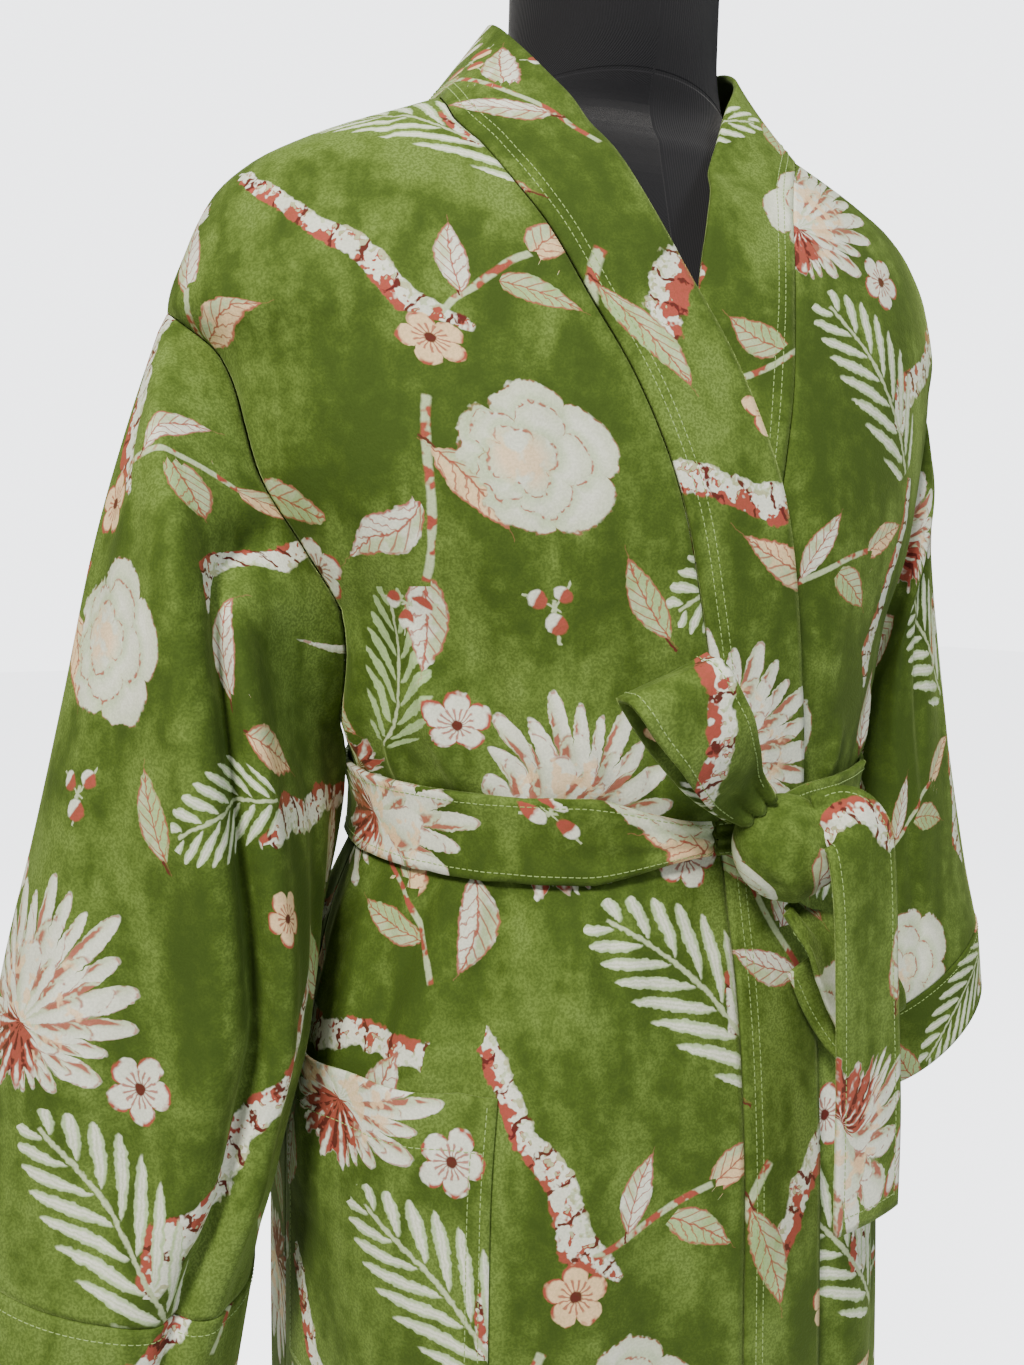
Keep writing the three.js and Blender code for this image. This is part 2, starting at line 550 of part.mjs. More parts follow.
// The neckband's rows from the middle of the back, over the shoulder and down one front
function neckbandRows(side, edgeRows, depthAt) {
  const found = [];
  for (let k = 0; k <= backColumns / 2; k += 1) {
    const spot = backPlace(0.5 + side * k / backColumns, backTop);
    const away = bodyNormal(spot.turn, spot.z).setZ(0).normalize();
    const seam = bodyPoint(spot.turn, spot.z).addScaledVector(away, bandProud);
    seam.z += 4 * seamGap;
    const edge = readTable(collarRows, 'share', 2 * k / backColumns);
    const free = new THREE.Vector3(side * edge.freeX, edge.freeY, edge.freeZ);
    if (k === 0) {
      seam.x = side * seamGap / 2;
      free.x = side * seamGap / 2;
    }
    found.push([seam, seam.clone().lerp(free, 0.5), free]);
  }
  for (const z of panelHeights(frontTop)) {
    const edge = readTable(edgeRows, 'seamZ', z);
    const middleX = (edge.seamX + edge.freeX) / 2;
    const middleZ = (z + edge.freeZ) / 2;
    const seam = bandPoint(edge.seamX, z, depthAt(edge.seamX, z));
    const standing = ease(clamp((z - collarEndHeight) / neckbandEaseHeight, 0, 1));
    const free = bandPoint(edge.freeX, edge.freeZ, depthAt(edge.freeX, edge.freeZ));
    const middle = bandPoint(middleX, middleZ, depthAt(middleX, middleZ));
    if (standing > 0) {
      const upright = new THREE.Vector3(edge.freeX, readTable(collarFrontRows, 'seamZ', z).freeY, edge.freeZ);
      free.lerp(upright, standing);
      middle.lerp(seam.clone().lerp(upright, 0.5), standing);
    }
    found.push([seam, middle, free]);
  }
  return found;
}

function neckband(side, edgeRows, depthAt) {
  const outer = neckbandRows(side, edgeRows, depthAt);
  const inner = outer.map((row, i) => row.map((point, j) => {
    const before = outer[Math.max(i - 1, 0)][j];
    const after = outer[Math.min(i + 1, outer.length - 1)][j];
    const along = after.clone().sub(before);
    const across = row[2].clone().sub(row[0]);
    const outward = across.cross(along).normalize().multiplyScalar(side);
    if (i === 0) outward.setX(0).normalize();
    return point.clone().addScaledVector(outward, -bandWall);
  }));
  return wall(outer, inner, false);
}

// A sleeve's first ring is the armhole seam itself
function armholeRing(side) {
  const ring = [];
  for (let k = 0; k < 2 * armholeSteps; k += 1) {
    const behind = k > armholeSteps;
    const z = armholeHeight(behind ? 2 * armholeSteps - k : k);
    const row = readTable(bodySections, 'z', z);
    const turn = behind
      ? 180 - armholeTurn(z, row.back, row.power)
      : armholeTurn(z, row.front, row.power);
    const point = bodyPoint(side * turn, z);
    point.x += side * 2 * seamGap;
    ring.push(point);
  }
  return ring;
}

// How far the folds lift a sleeve's cloth at one ring and angle
function sleeveLift(folds, place, angle) {
  let lift = 0;
  for (const fold of folds) {
    const along = clamp((place - fold.start) / (fold.end - fold.start), 0, 1);
    let apart = degrees(angle) - (fold.angle + fold.lean * along);
    apart -= 360 * Math.round(apart / 360);
    lift += fold.high * Math.sin(Math.PI * along) * Math.exp(-((apart / fold.wide) ** 2));
  }
  return lift;
}

function sleeveRing(row, inward, folds = [], place = 0) {
  const ring = [];
  const middleX = (row.outX + row.inX) / 2;
  const middleZ = (row.outZ + row.inZ) / 2;
  const away = new THREE.Vector3(row.outX - row.inX, 0, row.outZ - row.inZ);
  const reach = away.length() / 2;
  away.normalize();
  for (let k = 0; k < 2 * armholeSteps; k += 1) {
    const angle = Math.PI * k / armholeSteps;
    const sine = Math.sin(angle);
    const front = sine > 0;
    const depth = front ? row.front : row.back;
    const shape = front ? sine ** (angle > Math.PI / 2 ? row.hollow : 1.1) : -sine;
    const out = sleeveLift(folds, place, angle) - inward;
    const point = new THREE.Vector3(middleX, 0, middleZ);
    point.addScaledVector(away, (reach + out) * Math.cos(angle));
    point.y = (front ? -1 : 1) * (depth + out) * shape;
    if (front) point.x += row.crease * sine * sine;
    ring.push(point);
  }
  return ring;
}

function sleeveRings(side, rows, folds, inward) {
  const rings = [armholeRing(side)];
  if (inward > 0) {
    rings[0] = rings[0].map((point, k) => {
      const angle = Math.PI * k / armholeSteps;
      const moved = point.clone();
      moved.z -= inward * Math.cos(angle);
      moved.y += inward * Math.sin(angle);
      return moved;
    });
  }
  rows.forEach((row, place) => rings.push(sleeveRing(row, inward, folds, place)));
  return rings;
}

function sleeve(side, rows, folds) {
  const body = rows.slice(0, rows.length - cuffRingCount);
  const outer = sleeveRings(side, body, folds, 0);
  const inner = sleeveRings(side, body, folds, clothWall);
  return wall(outer, inner, true);
}

function cuff(side, rows) {
  const pair = rows.slice(rows.length - cuffRingCount - 1);
  const start = { ...pair[0] };
  const half = {};
  for (const name of Object.keys(start)) start[name] = mix(pair[0][name], pair[1][name], cuffSeamShare);
  for (const name of Object.keys(start)) half[name] = mix(start[name], pair[1][name], 0.5);
  const wider = (row) => ({
    ...row,
    front: row.front + bandProud,
    back: row.back + bandProud,
    outX: row.outX + side * bandProud,
    inX: row.inX - side * bandProud,
  });
  const table = [start, half, pair[1]].map(wider);
  const outer = table.map((row) => sleeveRing(row, 0));
  const inner = table.map((row) => sleeveRing(row, bandWall));
  return wall(outer, inner, true);
}

// The pocket is the right front's own points, moved out
function pocket() {
  const heights = panelHeights(frontTop).filter((z) => z <= pocketTop && z >= pocketBottom);
  const rows = [pocketTop, ...heights.filter((z) => z < pocketTop - 6)];
  const first = Math.round(pocketFrontShare * frontColumns);
  const last = Math.round(pocketBackShare * frontColumns);
  const place = (share, z) => {
    const spot = rightFrontPlace(mix(first, last, share) / frontColumns, z);
    return { ...spot, out: pocketWall + pocketClear };
  };
  return bodyWall(rows, last - first, place, pocketWall);
}

// The belt round the waist, from one side of the knot to the other
function waistBelt() {
  const lastTurn = 360 + beltGapTurn - 1;
  const outer = [];
  const inner = [];
  for (let i = 0; i <= beltRows; i += 1) {
    const outerRow = [];
    const innerRow = [];
    for (let j = 0; j <= beltColumns; j += 1) {
      const turn = mix(beltGapTurn, lastTurn, j / beltColumns);
      const fromKnot = Math.min(turn - beltGapTurn, lastTurn - turn);
      const pinch = mix(beltPinch, 1, ease(clamp(fromKnot / beltPinchTurn, 0, 1)));
      const share = i / beltRows - 0.5;
      const z = beltHeight(turn) - share * beltWidth * pinch;
      const row = readTable(bodySections, 'z', beltHeight(turn));
      const crown = beltWall + beltCrown * (1 - 4 * share * share) + (1 - pinch) * beltBunch;
      const base = readTable(bodySections, 'z', z);
      const stand = Math.max(row.front, base.front) - base.front;
      const turned = -turn;
      const point = bodyPoint(turned, z, beltClear + stand);
      const away = bodyNormal(turned, z).setZ(0).normalize();
      innerRow.push(point);
      outerRow.push(point.clone().addScaledVector(away, crown));
    }
    outer.push(outerRow);
    inner.push(innerRow);
  }
  return wall(outer, inner, false);
}

// A flat strip of belt along rows; its section is flat with round edges
function strip(rows) {
  const thin = stripWall / 2;
  const corners = [{ wide: 0.5, thick: 0.35 }, { wide: 0.3, thick: 1 }];
  const front = [...corners, ...[...corners].reverse().map((c) => ({ wide: -c.wide, thick: c.thick }))];
  const behind = [...front].reverse().map((c) => ({ wide: c.wide, thick: -c.thick }));
  const section = [...front, ...behind];
  const rings = rows.map((row, i) => {
    const before = rows[Math.max(i - 1, 0)];
    const after = rows[Math.min(i + 1, rows.length - 1)];
    const along = new THREE.Vector3(after.x - before.x, after.y - before.y, after.z - before.z).normalize();
    const across = new THREE.Vector3(row.acrossX, row.acrossY, row.acrossZ);
    across.addScaledVector(along, -across.dot(along)).normalize();
    const normal = across.clone().cross(along).normalize();
    return section.map((corner) => new THREE.Vector3(row.x, row.y, row.z)
      .addScaledVector(across, corner.wide * row.wide)
      .addScaledVector(normal, corner.thick * thin));
  });
  return capped(rings);
}

// Rings joined one after another, closed at both ends
function capped(rings) {
  const columns = rings[0].length;
  const positions = [];
  for (const ring of rings) {
    for (const point of ring) positions.push(point.x, point.y, point.z);
  }
  const index = [];
  for (let i = 0; i < rings.length - 1; i += 1) {
    for (let j = 0; j < columns; j += 1) {
      const a = i * columns + j;
      const b = i * columns + (j + 1) % columns;
      index.push(a, a + columns, b + columns, a, b + columns, b);
    }
  }
  for (const [ring, flip] of [[0, false], [rings.length - 1, true]]) {
    const middle = positions.length / 3;
    const sum = new THREE.Vector3();
    for (const point of rings[ring]) sum.add(point);
    sum.multiplyScalar(1 / columns);
    positions.push(sum.x, sum.y, sum.z);
    for (let j = 0; j < columns; j += 1) {
      const a = ring * columns + j;
      const b = ring * columns + (j + 1) % columns;
      if (flip) index.push(middle, b, a);
      else index.push(middle, a, b);
    }
  }
  return facingOut(positions, index);
}

// The knot: a rounded lump of cloth that leans with the wrap over it
function knot() {
  const geometry = new THREE.SphereGeometry(1, 20, 14);
  geometry.deleteAttribute('uv');
  geometry.scale(knotHalf.x, knotHalf.y, knotHalf.z);
  geometry.rotateY(radians(knotLean));
  geometry.translate(knotMiddle.x, knotMiddle.y, knotMiddle.z);
  return geometry;
}

function formTorso() {
  const rings = formSections.map((row) => {
    const ring = [];
    for (let j = 0; j < formSides; j += 1) {
      const turn = 2 * Math.PI * j / formSides;
      const depth = Math.cos(turn) > 0 ? row.front : row.back;
      ring.push(new THREE.Vector3(row.half * Math.sin(turn), -depth * Math.cos(turn), row.z));
    }
    return ring;
  });
  return capped(rings.reverse());
}

function neckCap() {
  const top = formSections[formSections.length - 1];
  const middleY = (top.back - top.front) / 2;
  const height = neckCapTop - top.z;
  const profile = [
    { share: 0, z: seamGap },
    { share: 1, z: seamGap },
    { share: 1.02, z: 4 },
    { share: 0.99, z: 9 },
    { share: 0.9, z: height },
    { share: 0, z: height },
  ];
  const points = profile.map((row) => new THREE.Vector2(row.share, row.z));
  const geometry = new THREE.LatheGeometry(points, 28);
  geometry.rotateX(Math.PI / 2);
  geometry.scale(top.half, (top.front + top.back) / 2, 1);
  geometry.translate(0, middleY, top.z);
  return geometry;
}

function pole() {
  const length = formBottom - 2 * seamGap - baseThickness - bossHeight;
  const geometry = new THREE.CylinderGeometry(poleRadius, poleRadius, length, 24);
  geometry.rotateX(Math.PI / 2);
  geometry.translate(0, 0, baseThickness + bossHeight + seamGap + length / 2);
  return geometry;
}

function base() {
  const top = baseThickness + bossHeight;
  const profile = [
    { radius: 0, z: 0 },
    { radius: baseRadius - 3, z: 0 },
    { radius: baseRadius, z: 3 },
    { radius: baseRadius, z: baseThickness - 4 },
    { radius: baseRadius - 6, z: baseThickness },
    { radius: bossRadius + 10, z: baseThickness + 2 },
    { radius: bossRadius, z: baseThickness + 8 },
    { radius: bossRadius - 8, z: top - 6 },
    { radius: bossRadius - 12, z: top },
    { radius: 0, z: top },
  ];
  const points = profile.map((row) => new THREE.Vector2(row.radius, row.z));
  const geometry = new THREE.LatheGeometry(points, 40);
  geometry.rotateX(Math.PI / 2);
  return geometry;
}

const velvet = { color: 0x4f7a24, roughness: 0.85, metalness: 0 };
const formCloth = { color: 0x17171a, roughness: 0.8, metalness: 0 };
const paintedSteel = { color: 0x1c1c1e, roughness: 0.45, metalness: 0.3 };

function piece(name, geometry, finish) {
  const mesh = new THREE.Mesh(geometry, new THREE.MeshStandardMaterial(finish));
  mesh.name = name;
  return mesh;
}

const robe = new THREE.Group();
robe.add(
  piece('front_right', rightFront(), velvet),
  piece('front_left', leftFront(), velvet),
  piece('back', back(), velvet),
  piece('sleeve_right', sleeve(-1, rightSleeveRings, rightSleeveFolds), velvet),
  piece('sleeve_left', sleeve(1, leftSleeveRings, leftSleeveFolds), velvet),
  piece('cuff_right', cuff(-1, rightSleeveRings), velvet),
  piece('cuff_left', cuff(1, leftSleeveRings), velvet),
  piece('neckband_right', neckband(-1, rightFrontEdge, () => 0), velvet),
  piece('neckband_left', neckband(1, leftFrontEdge, underDepth), velvet),
  piece('pocket_right', pocket(), velvet),
  piece('belt_waist', waistBelt(), velvet),
  piece('belt_knot', knot(), velvet),
  piece('belt_loop_upper', strip(upperLoopRows), velvet),
  piece('belt_loop_lower', strip(lowerLoopRows), velvet),
  piece('belt_tail', strip(tailRows), velvet),
  piece('form_torso', formTorso(), formCloth),
  piece('form_neck_cap', neckCap(), paintedSteel),
  piece('stand_pole', pole(), paintedSteel),
  piece('stand_base', base(), paintedSteel),
);

export default robe;
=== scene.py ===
import math

import bmesh
import bpy
import numpy as np
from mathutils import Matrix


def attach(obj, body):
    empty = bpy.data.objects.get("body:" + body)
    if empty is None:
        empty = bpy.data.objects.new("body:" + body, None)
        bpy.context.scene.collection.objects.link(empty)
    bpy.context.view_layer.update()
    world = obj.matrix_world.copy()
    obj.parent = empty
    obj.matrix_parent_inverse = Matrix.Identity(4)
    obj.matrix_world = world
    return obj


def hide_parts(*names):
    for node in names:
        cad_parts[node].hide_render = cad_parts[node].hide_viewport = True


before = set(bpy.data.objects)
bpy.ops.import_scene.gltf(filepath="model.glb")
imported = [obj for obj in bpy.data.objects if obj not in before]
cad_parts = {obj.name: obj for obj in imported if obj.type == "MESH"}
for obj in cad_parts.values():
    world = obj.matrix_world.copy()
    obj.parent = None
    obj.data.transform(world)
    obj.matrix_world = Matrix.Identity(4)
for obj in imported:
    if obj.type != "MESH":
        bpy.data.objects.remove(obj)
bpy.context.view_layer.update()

# A velvet kimono robe with a printed pattern, tied with its belt, on a black dress form.
# Lengths are in millimetres until a mesh is written. The front looks toward -Y.

# The cloth
CLOTH_WALL = 1.7
BAND_WALL = 2.8
BAND_PROUD = 1.0
SEAM_GAP = 0.3
HEM_HEIGHT = 240
UNDER_DEPTH = 5.2
UNDER_EASE = 26
UNDER_REACH = 4

# Where the robe hangs from
FRONT_TOP = 1422
BACK_TOP = 1424
BACK_NECK_DIP = 13
BACK_NECK_BOTTOM = 1375
ARMHOLE_TOP = 1299
ARMHOLE_BOTTOM = 1085
ARMHOLE_MIDDLE = (ARMHOLE_TOP + ARMHOLE_BOTTOM) / 2
ARMHOLE_REACH = (ARMHOLE_TOP - ARMHOLE_BOTTOM) / 2
ARMHOLE_HALF_DEPTH = 40
ARMHOLE_HOLLOW = 13
BAND_SEAM_TURN = 0.35
COLLAR_END = 1358
COLLAR_EASE = 18

# The belt
BELT_WIDTH = 42
BELT_WALL = 3.2
BELT_CLEAR = 2.2
BELT_HOLD = 40
BELT_FRONT = 1037
BELT_BACK = 1048
BELT_GAP_TURN = 2
BELT_PINCH_TURN = 24
BELT_PINCH = 0.42
BELT_CROWN = 1.2
BELT_RIDGE = 0.9
BELT_WAVE = 0.6
BELT_BULGE_AT_KNOT = 3
STRIP_WALL = 2.6
STRIP_CROWN = 0.9
STRIP_BEND = 0.8
STRIP_GATHER_SHARE = 0.22
KNOT_MIDDLE = (22, -153, 1035)
KNOT_HALF = (28, 21.6, 26)
KNOT_LEAN = 38

# The pocket, as shares of the right front from its band seam to its side
POCKET_FRONT_SHARE = 7 / 17
POCKET_BACK_SHARE = 16 / 17
POCKET_TOP = 918
POCKET_BOTTOM = 738
POCKET_WALL = 1.6
POCKET_CLEAR = 0.5
POCKET_GAPE = 4.5

# The form and its stand
FORM_BOTTOM = 806
NECK_CAP_TOP = 1546
NECK_SEAM_HEIGHT = 1424
POLE_RADIUS = 15
BASE_RADIUS = 215
BASE_THICKNESS = 14
BOSS_RADIUS = 34
BOSS_HEIGHT = 46

# Sewing
STITCH_LENGTH = 3.4
STITCH_RISE = 0.15
STITCH_SINK = 0.75
THREAD_RADIUS = 0.27

# Light and camera, in metres
ROOM_COLOUR = "#eceef2"
ROOM_LIGHT = 0.2
ROOM_AS_SEEN = 3.9
FLOOR_AS_SEEN = 3.5
LIGHTS_LOOK_AT = (0, 0, 1.1)
SENSOR_WIDTH = 36
CAMERA_LENS = 27.06
CAMERA_PLACE = (-0.28244, -0.56206, 1.16185)
CAMERA_LOOKS_DOWN = 5.32
CAMERA_TURNS_RIGHT = 21.48


def table(names, rows):
    """Rows of numbers as named columns"""
    columns = zip(*rows)
    return {name: np.array(column, float) for name, column in zip(names.split(), columns)}


# Half widths to the wearer's right and left, and depths to the front and back
BODY = table("z right left front back power", [
    (1426, 104, 102, 48, 62, 2.0),
    (1412, 135, 126, 60, 73, 2.0),
    (1398, 168, 155, 70, 82, 2.0),
    (1387, 190, 176, 77, 90, 2.0),
    (1375, 209, 193, 84, 96, 2.05),
    (1358, 226, 206, 92, 103, 2.1),
    (1332, 239, 215, 102, 110, 2.15),
    (1300, 249, 219, 111, 116, 2.15),
    (1276, 234, 214, 117, 120, 2.15),
    (1240, 226, 207, 124, 124, 2.15),
    (1215, 219, 201, 128, 125, 2.15),
    (1180, 199, 192, 130, 124, 2.15),
    (1140, 176, 176, 130, 121, 2.1),
    (1105, 166, 167, 128, 118, 2.1),
    (1075, 158, 159, 126, 117, 2.1),
    (1040, 151, 153, 124, 116, 2.1),
    (1005, 160, 154, 128, 122, 2.1),
    (960, 176, 155, 136, 134, 2.1),
    (915, 190, 155, 144, 144, 2.1),
    (860, 198, 155, 151, 152, 2.1),
    (780, 200, 156, 156, 158, 2.1),
    (640, 203, 160, 160, 162, 2.1),
    (240, 212, 176, 168, 170, 2.1),
])

# Where the neckband's seam and free edge cross each front
RIGHT_EDGE = table("seam_x seam_z free_x free_z", [
    (-108.5, 1422, -76, 1462),
    (-113, 1412, -74, 1450),
    (-114, 1396, -68, 1432),
    (-104, 1376, -52, 1408),
    (-94, 1358, -39, 1386),
    (-80, 1335, -26, 1354),
    (-62, 1298, -11, 1319),
    (-44, 1264, 7, 1285),
    (-32, 1234, 21, 1252),
    (-20, 1193, 36, 1206),
    (-11, 1147, 45, 1157),
    (-4, 1110, 51, 1116),
    (2, 1076, 57, 1079),
    (4, 1040, 60, 1040),
    (6, 1004, 62, 1004),
    (8, 958, 61, 958),
    (6, 880, 57, 880),
    (3, 780, 54, 780),
    (0, 430, 51, 430),
    (0, 240, 51, 240),
])
LEFT_EDGE = table("seam_x seam_z free_x free_z", [
    (107, 1422, 75, 1461),
    (101, 1412, 66, 1449),
    (88, 1398, 50, 1430),
    (74, 1380, 33, 1400),
    (64, 1356, 14, 1364),
    (56, 1320, 1, 1324),
    (46, 1262, -9, 1268),
    (38, 1212, -17, 1220),
    (22, 1160, -33, 1168),
    (7, 1104, -48, 1110),
    (-1, 1060, -56, 1064),
    (-3, 1010, -58, 1010),
    (-3, 900, -56, 900),
    (0, 640, -52, 640),
    (0, 240, -51, 240),
])
COLLAR = table("share free_x free_y free_z", [
    (0, 0, 60, 1466),
    (0.35, 32, 55, 1468),
    (0.65, 58, 38, 1472),
    (0.85, 72, 16, 1474),
    (1, 77, -6, 1471),
])
COLLAR_FRONT = table("seam_z free_y", [(1422, -18), (1412, -32), (1396, -50), (1376, -66)])

# A fold narrower than this, in degrees, runs closer to the belt than a wide one
NARROW_FOLD = 4
NARROW_HOLD = 0.6
# Large folds, then small creases; turn is degrees from the front centre
FOLDS = table("turn lean top bottom wide high", [
    (-72, -8, 1150, 1010, 7.5, 9),
    (-58, 5, 1130, 1015, 7, 8),
    (-84, -3, 1125, 960, 7, 7.5),
    (-40, 9, 1120, 1020, 7, 5),
    (-24, 8, 1100, 1020, 7, 4.2),
    (-70, -6, 1040, 830, 8, 7.5),
    (-52, 3, 1040, 700, 8, 7),
    (-26, 5, 1040, 560, 9, 6.5),
    (-104, -4, 1120, 420, 8, 8.5),
    (-122, 4, 1140, 560, 9, 8.5),
    (-140, -5, 1120, 380, 9, 9.5),
    (-160, 3, 1130, 520, 9, 8),
    (178, -3, 1150, 340, 10, 9.5),
    (158, 4, 1130, 500, 9, 8.5),
    (136, -4, 1140, 400, 9, 9.5),
    (116, 5, 1130, 560, 8, 8),
    (100, -3, 1120, 440, 8, 7.5),
    (82, 3, 1150, 520, 8, 7),
    (62, -6, 1140, 420, 8, 8),
    (42, -5, 1130, 600, 7, 5),
    (-55, 6, 1150, 1034, 2.6, 8.1),
    (-42, 9, 1140, 1034, 2.6, -6.1),
    (-29, 10, 1120, 1034, 2.6, 6.2),
    (-15, 8, 1100, 1034, 2.6, -4.6),
    (-57, -3, 1046, 920, 2.8, -5.0),
    (-39, -4, 1046, 900, 2.8, -4.4),
    (-22, -3, 1046, 930, 2.6, 3.6),
    (-78, 2, 1105, 1022, 2.4, 5.9),
    (-65, -3, 1110, 1028, 2.4, 6.2),
    (-47, 3, 1104, 1030, 2.2, 4.9),
    (-33, 4, 1092, 1030, 2.2, 3.8),
    (-61, 2, 1036, 952, 2.6, 4.2),
    (-44, -2, 1034, 968, 2.2, 3.4),
    (-80, -2, 1036, 930, 2.8, 4.0),
    (-34, 3, 1030, 962, 2.2, 3.0),
    (-17, 2, 1026, 946, 2.2, 2.4),
    (52, -2, 1104, 1026, 2.4, 4.9),
    (70, 3, 1116, 1020, 2.6, 5.1),
    (33, -3, 1092, 1030, 2.0, 3.5),
    (57, 2, 1034, 944, 2.4, 3.8),
    (92, -2, 1100, 1024, 2.6, 3.5),
    (109, 2, 1116, 1030, 2.6, 3.0),
    (128, -2, 1104, 1034, 2.4, 3.5),
    (146, 3, 1120, 1036, 2.6, 3.0),
    (168, -2, 1108, 1038, 2.4, 3.5),
    (188, 2, 1116, 1038, 2.6, 3.0),
    (209, -3, 1102, 1036, 2.4, 3.4),
    (228, 2, 1120, 1032, 2.6, 3.1),
    (246, -2, 1106, 1028, 2.6, 3.5),
    (-66, -16, 1300, 1130, 5, 4.2),
    (-54, -12, 1250, 1100, 4, -3.0),
    (-38, 10, 1240, 1080, 6, 2.6),
    (66, 12, 1280, 1130, 5, 3.6),
    (-36, -5, 1010, 500, 6, 5.4),
    (-14, 4, 960, 380, 7, -4.0),
    (-60, 4, 960, 300, 7, 6.4),
    (36, -6, 1000, 380, 8, 5.4),
    (64, 5, 980, 300, 8, 6.4),
    (-100, 4, 1044, 860, 3, 2.4),
    (120, -3, 1040, 850, 3, 2.4),
    (176, 3, 1042, 800, 3.4, 2.6),
    (214, -4, 1044, 840, 3, 2.2),
])

SLEEVE_COLUMNS = "row out_x out_z in_x in_z front back crease hollow"
RIGHT_SLEEVE = table(SLEEVE_COLUMNS, [
    (0, -254, 1290, -162, 1079, 58, 54, -14, 1.5),
    (1, -261, 1270, -161, 1068, 76, 66, -26, 2.2),
    (2, -272, 1237, -162, 1050, 85, 72, -22, 2.2),
    (3, -288, 1182, -166, 1024, 88, 76, -10, 1.9),
    (4, -305, 1106, -175, 985, 89, 78, 6, 1.6),
    (5, -321, 1038, -185, 948, 88, 78, 22, 1.4),
    (6, -337, 975, -198, 908, 86, 76, 34, 1.2),
    (7, -349, 915, -209, 866, 84, 75, 34, 1.1),
    (8, -357, 866, -215, 830, 84, 75, 24, 1),
    (9, -362, 834, -219, 803, 84, 75, 16, 1),
    (10, -368, 776, -229, 745, 86, 77, 8, 1),
])
LEFT_SLEEVE = table(SLEEVE_COLUMNS, [
    (0, 223, 1290, 163, 1079, 50, 60, 0, 1.3),
    (1, 226, 1268, 162, 1068, 52, 78, 0, 1.5),
    (2, 230, 1230, 162, 1052, 48, 92, -6, 1.5),
    (3, 238, 1180, 163, 1028, 45, 104, -12, 1.3),
    (4, 252, 1116, 165, 994, 43, 112, -17, 1.2),
    (5, 265, 1060, 168, 960, 43, 114, -19, 1.1),
    (6, 277, 1008, 171, 926, 43, 114, -21, 1),
    (7, 287, 966, 175, 896, 43, 112, -19, 1),
    (8, 294, 940, 179, 874, 44, 110, -16, 1),
    (9, 297, 928, 181, 864, 44, 110, -13, 1),
    (10, 301, 884, 189, 814, 46, 112, -8, 1),
])
CUFF_GAP = 0.012
CUFF_START = 9 + CUFF_GAP
CUFF_END = 10

# Folds along a sleeve; angle is degrees round it from its outer edge toward the front
RIGHT_SLEEVE_FOLDS = table("angle lean start end wide high", [
    (60, 14, 0.6, 5.5, 15, 6.5),
    (100, -12, 1.2, 7.0, 13, 6),
    (28, 8, 3.0, 8.8, 13, 5),
    (135, -14, 2.0, 5.5, 12, 5.5),
    (80, 10, 5.0, 8.9, 12, 4.5),
    (215, 12, 0.8, 5.5, 15, 6),
    (250, -8, 2.0, 7.5, 15, 6),
    (290, 10, 1.5, 6.5, 15, 6),
    (325, -6, 3.0, 8.8, 14, 5),
    (88, 14, -3.4, 11.5, 4.6, -16),
    (103, 14, -3.0, 11, 7, 8),
    (72, 14, -0.6, 9.6, 8, 5),
    (45, -10, 0.2, 5.0, 6, 3.0),
    (128, 10, 0.6, 5.5, 6, -5.0),
    (146, -8, 1.4, 8.0, 6, 4.0),
    (34, 16, 3.5, 8.9, 6, 2.6),
    (20, -6, 1.0, 5.0, 6, 2.4),
    (58, 8, 5.0, 8.9, 5, -2.6),
    (232, 8, 3.0, 7.0, 5, 2.0),
    (270, -8, 1.0, 5.0, 5, 2.0),
    (308, 8, 4.0, 8.5, 5, 1.8),
])
LEFT_SLEEVE_FOLDS = table("angle lean start end wide high", [
    (50, 10, 0.8, 5.0, 14, 4.5),
    (88, -8, 1.4, 7.0, 13, 4),
    (120, 8, 3.5, 8.6, 13, 3.5),
    (205, -10, 0.8, 5.0, 15, 5.5),
    (240, 9, 1.6, 7.0, 15, 6),
    (278, -8, 2.4, 8.2, 15, 5.5),
    (315, 8, 1.0, 6.0, 15, 4.5),
    (68, 8, 1.0, 6.0, 5, -3.6),
    (105, -8, 0.4, 5.0, 5, 3.0),
    (30, 10, 0.5, 6.0, 6, 3.4),
    (84, 6, 3.0, 8.6, 5, -3.0),
    (222, 8, 2.5, 6.5, 5, 2.0),
    (258, -8, 1.0, 5.0, 5, 2.0),
    (296, 8, 4.0, 8.5, 5, 1.8),
])

STRIP_COLUMNS = "x y z wide across_x across_y across_z"
UPPER_LOOP = table(STRIP_COLUMNS, [
    (2.8, -158, 1055.3, 20, 0.72, -0.2, 0.66),
    (-12, -163, 1067, 28, 0.78, -0.1, 0.62),
    (-28, -178, 1081, 36, 0.8, -0.08, 0.6),
    (-42, -187, 1098, 42, 0.86, -0.05, 0.5),
    (-54, -188, 1114, 46, 0.9, -0.02, 0.42),
    (-59, -182, 1122, 47, 0.92, 0, 0.38),
    (-58, -173, 1122, 46, 0.92, 0, 0.38),
    (-51, -165, 1112, 42, 0.9, 0, 0.42),
    (-38, -157, 1094, 36, 0.86, 0, 0.5),
    (-22, -151, 1074, 28, 0.8, 0, 0.6),
    (-0.5, -148, 1056, 20, 0.72, 0, 0.66),
])
LOWER_LOOP = table(STRIP_COLUMNS, [
    (24, -155, 1006.2, 19, 0.45, 0.75, 0.48),
    (34, -160, 994, 28, 0.55, 0.6, 0.58),
    (46, -160, 982, 36, 0.7, 0.35, 0.62),
    (62, -158, 964, 42, 0.78, 0.15, 0.6),
    (74, -158, 946, 44, 0.84, 0.05, 0.54),
    (78, -154, 934, 44, 0.86, 0, 0.5),
    (75, -148, 934, 42, 0.86, 0, 0.5),
    (62, -144, 950, 38, 0.84, 0, 0.54),
    (46, -143, 974, 30, 0.8, 0, 0.6),
])
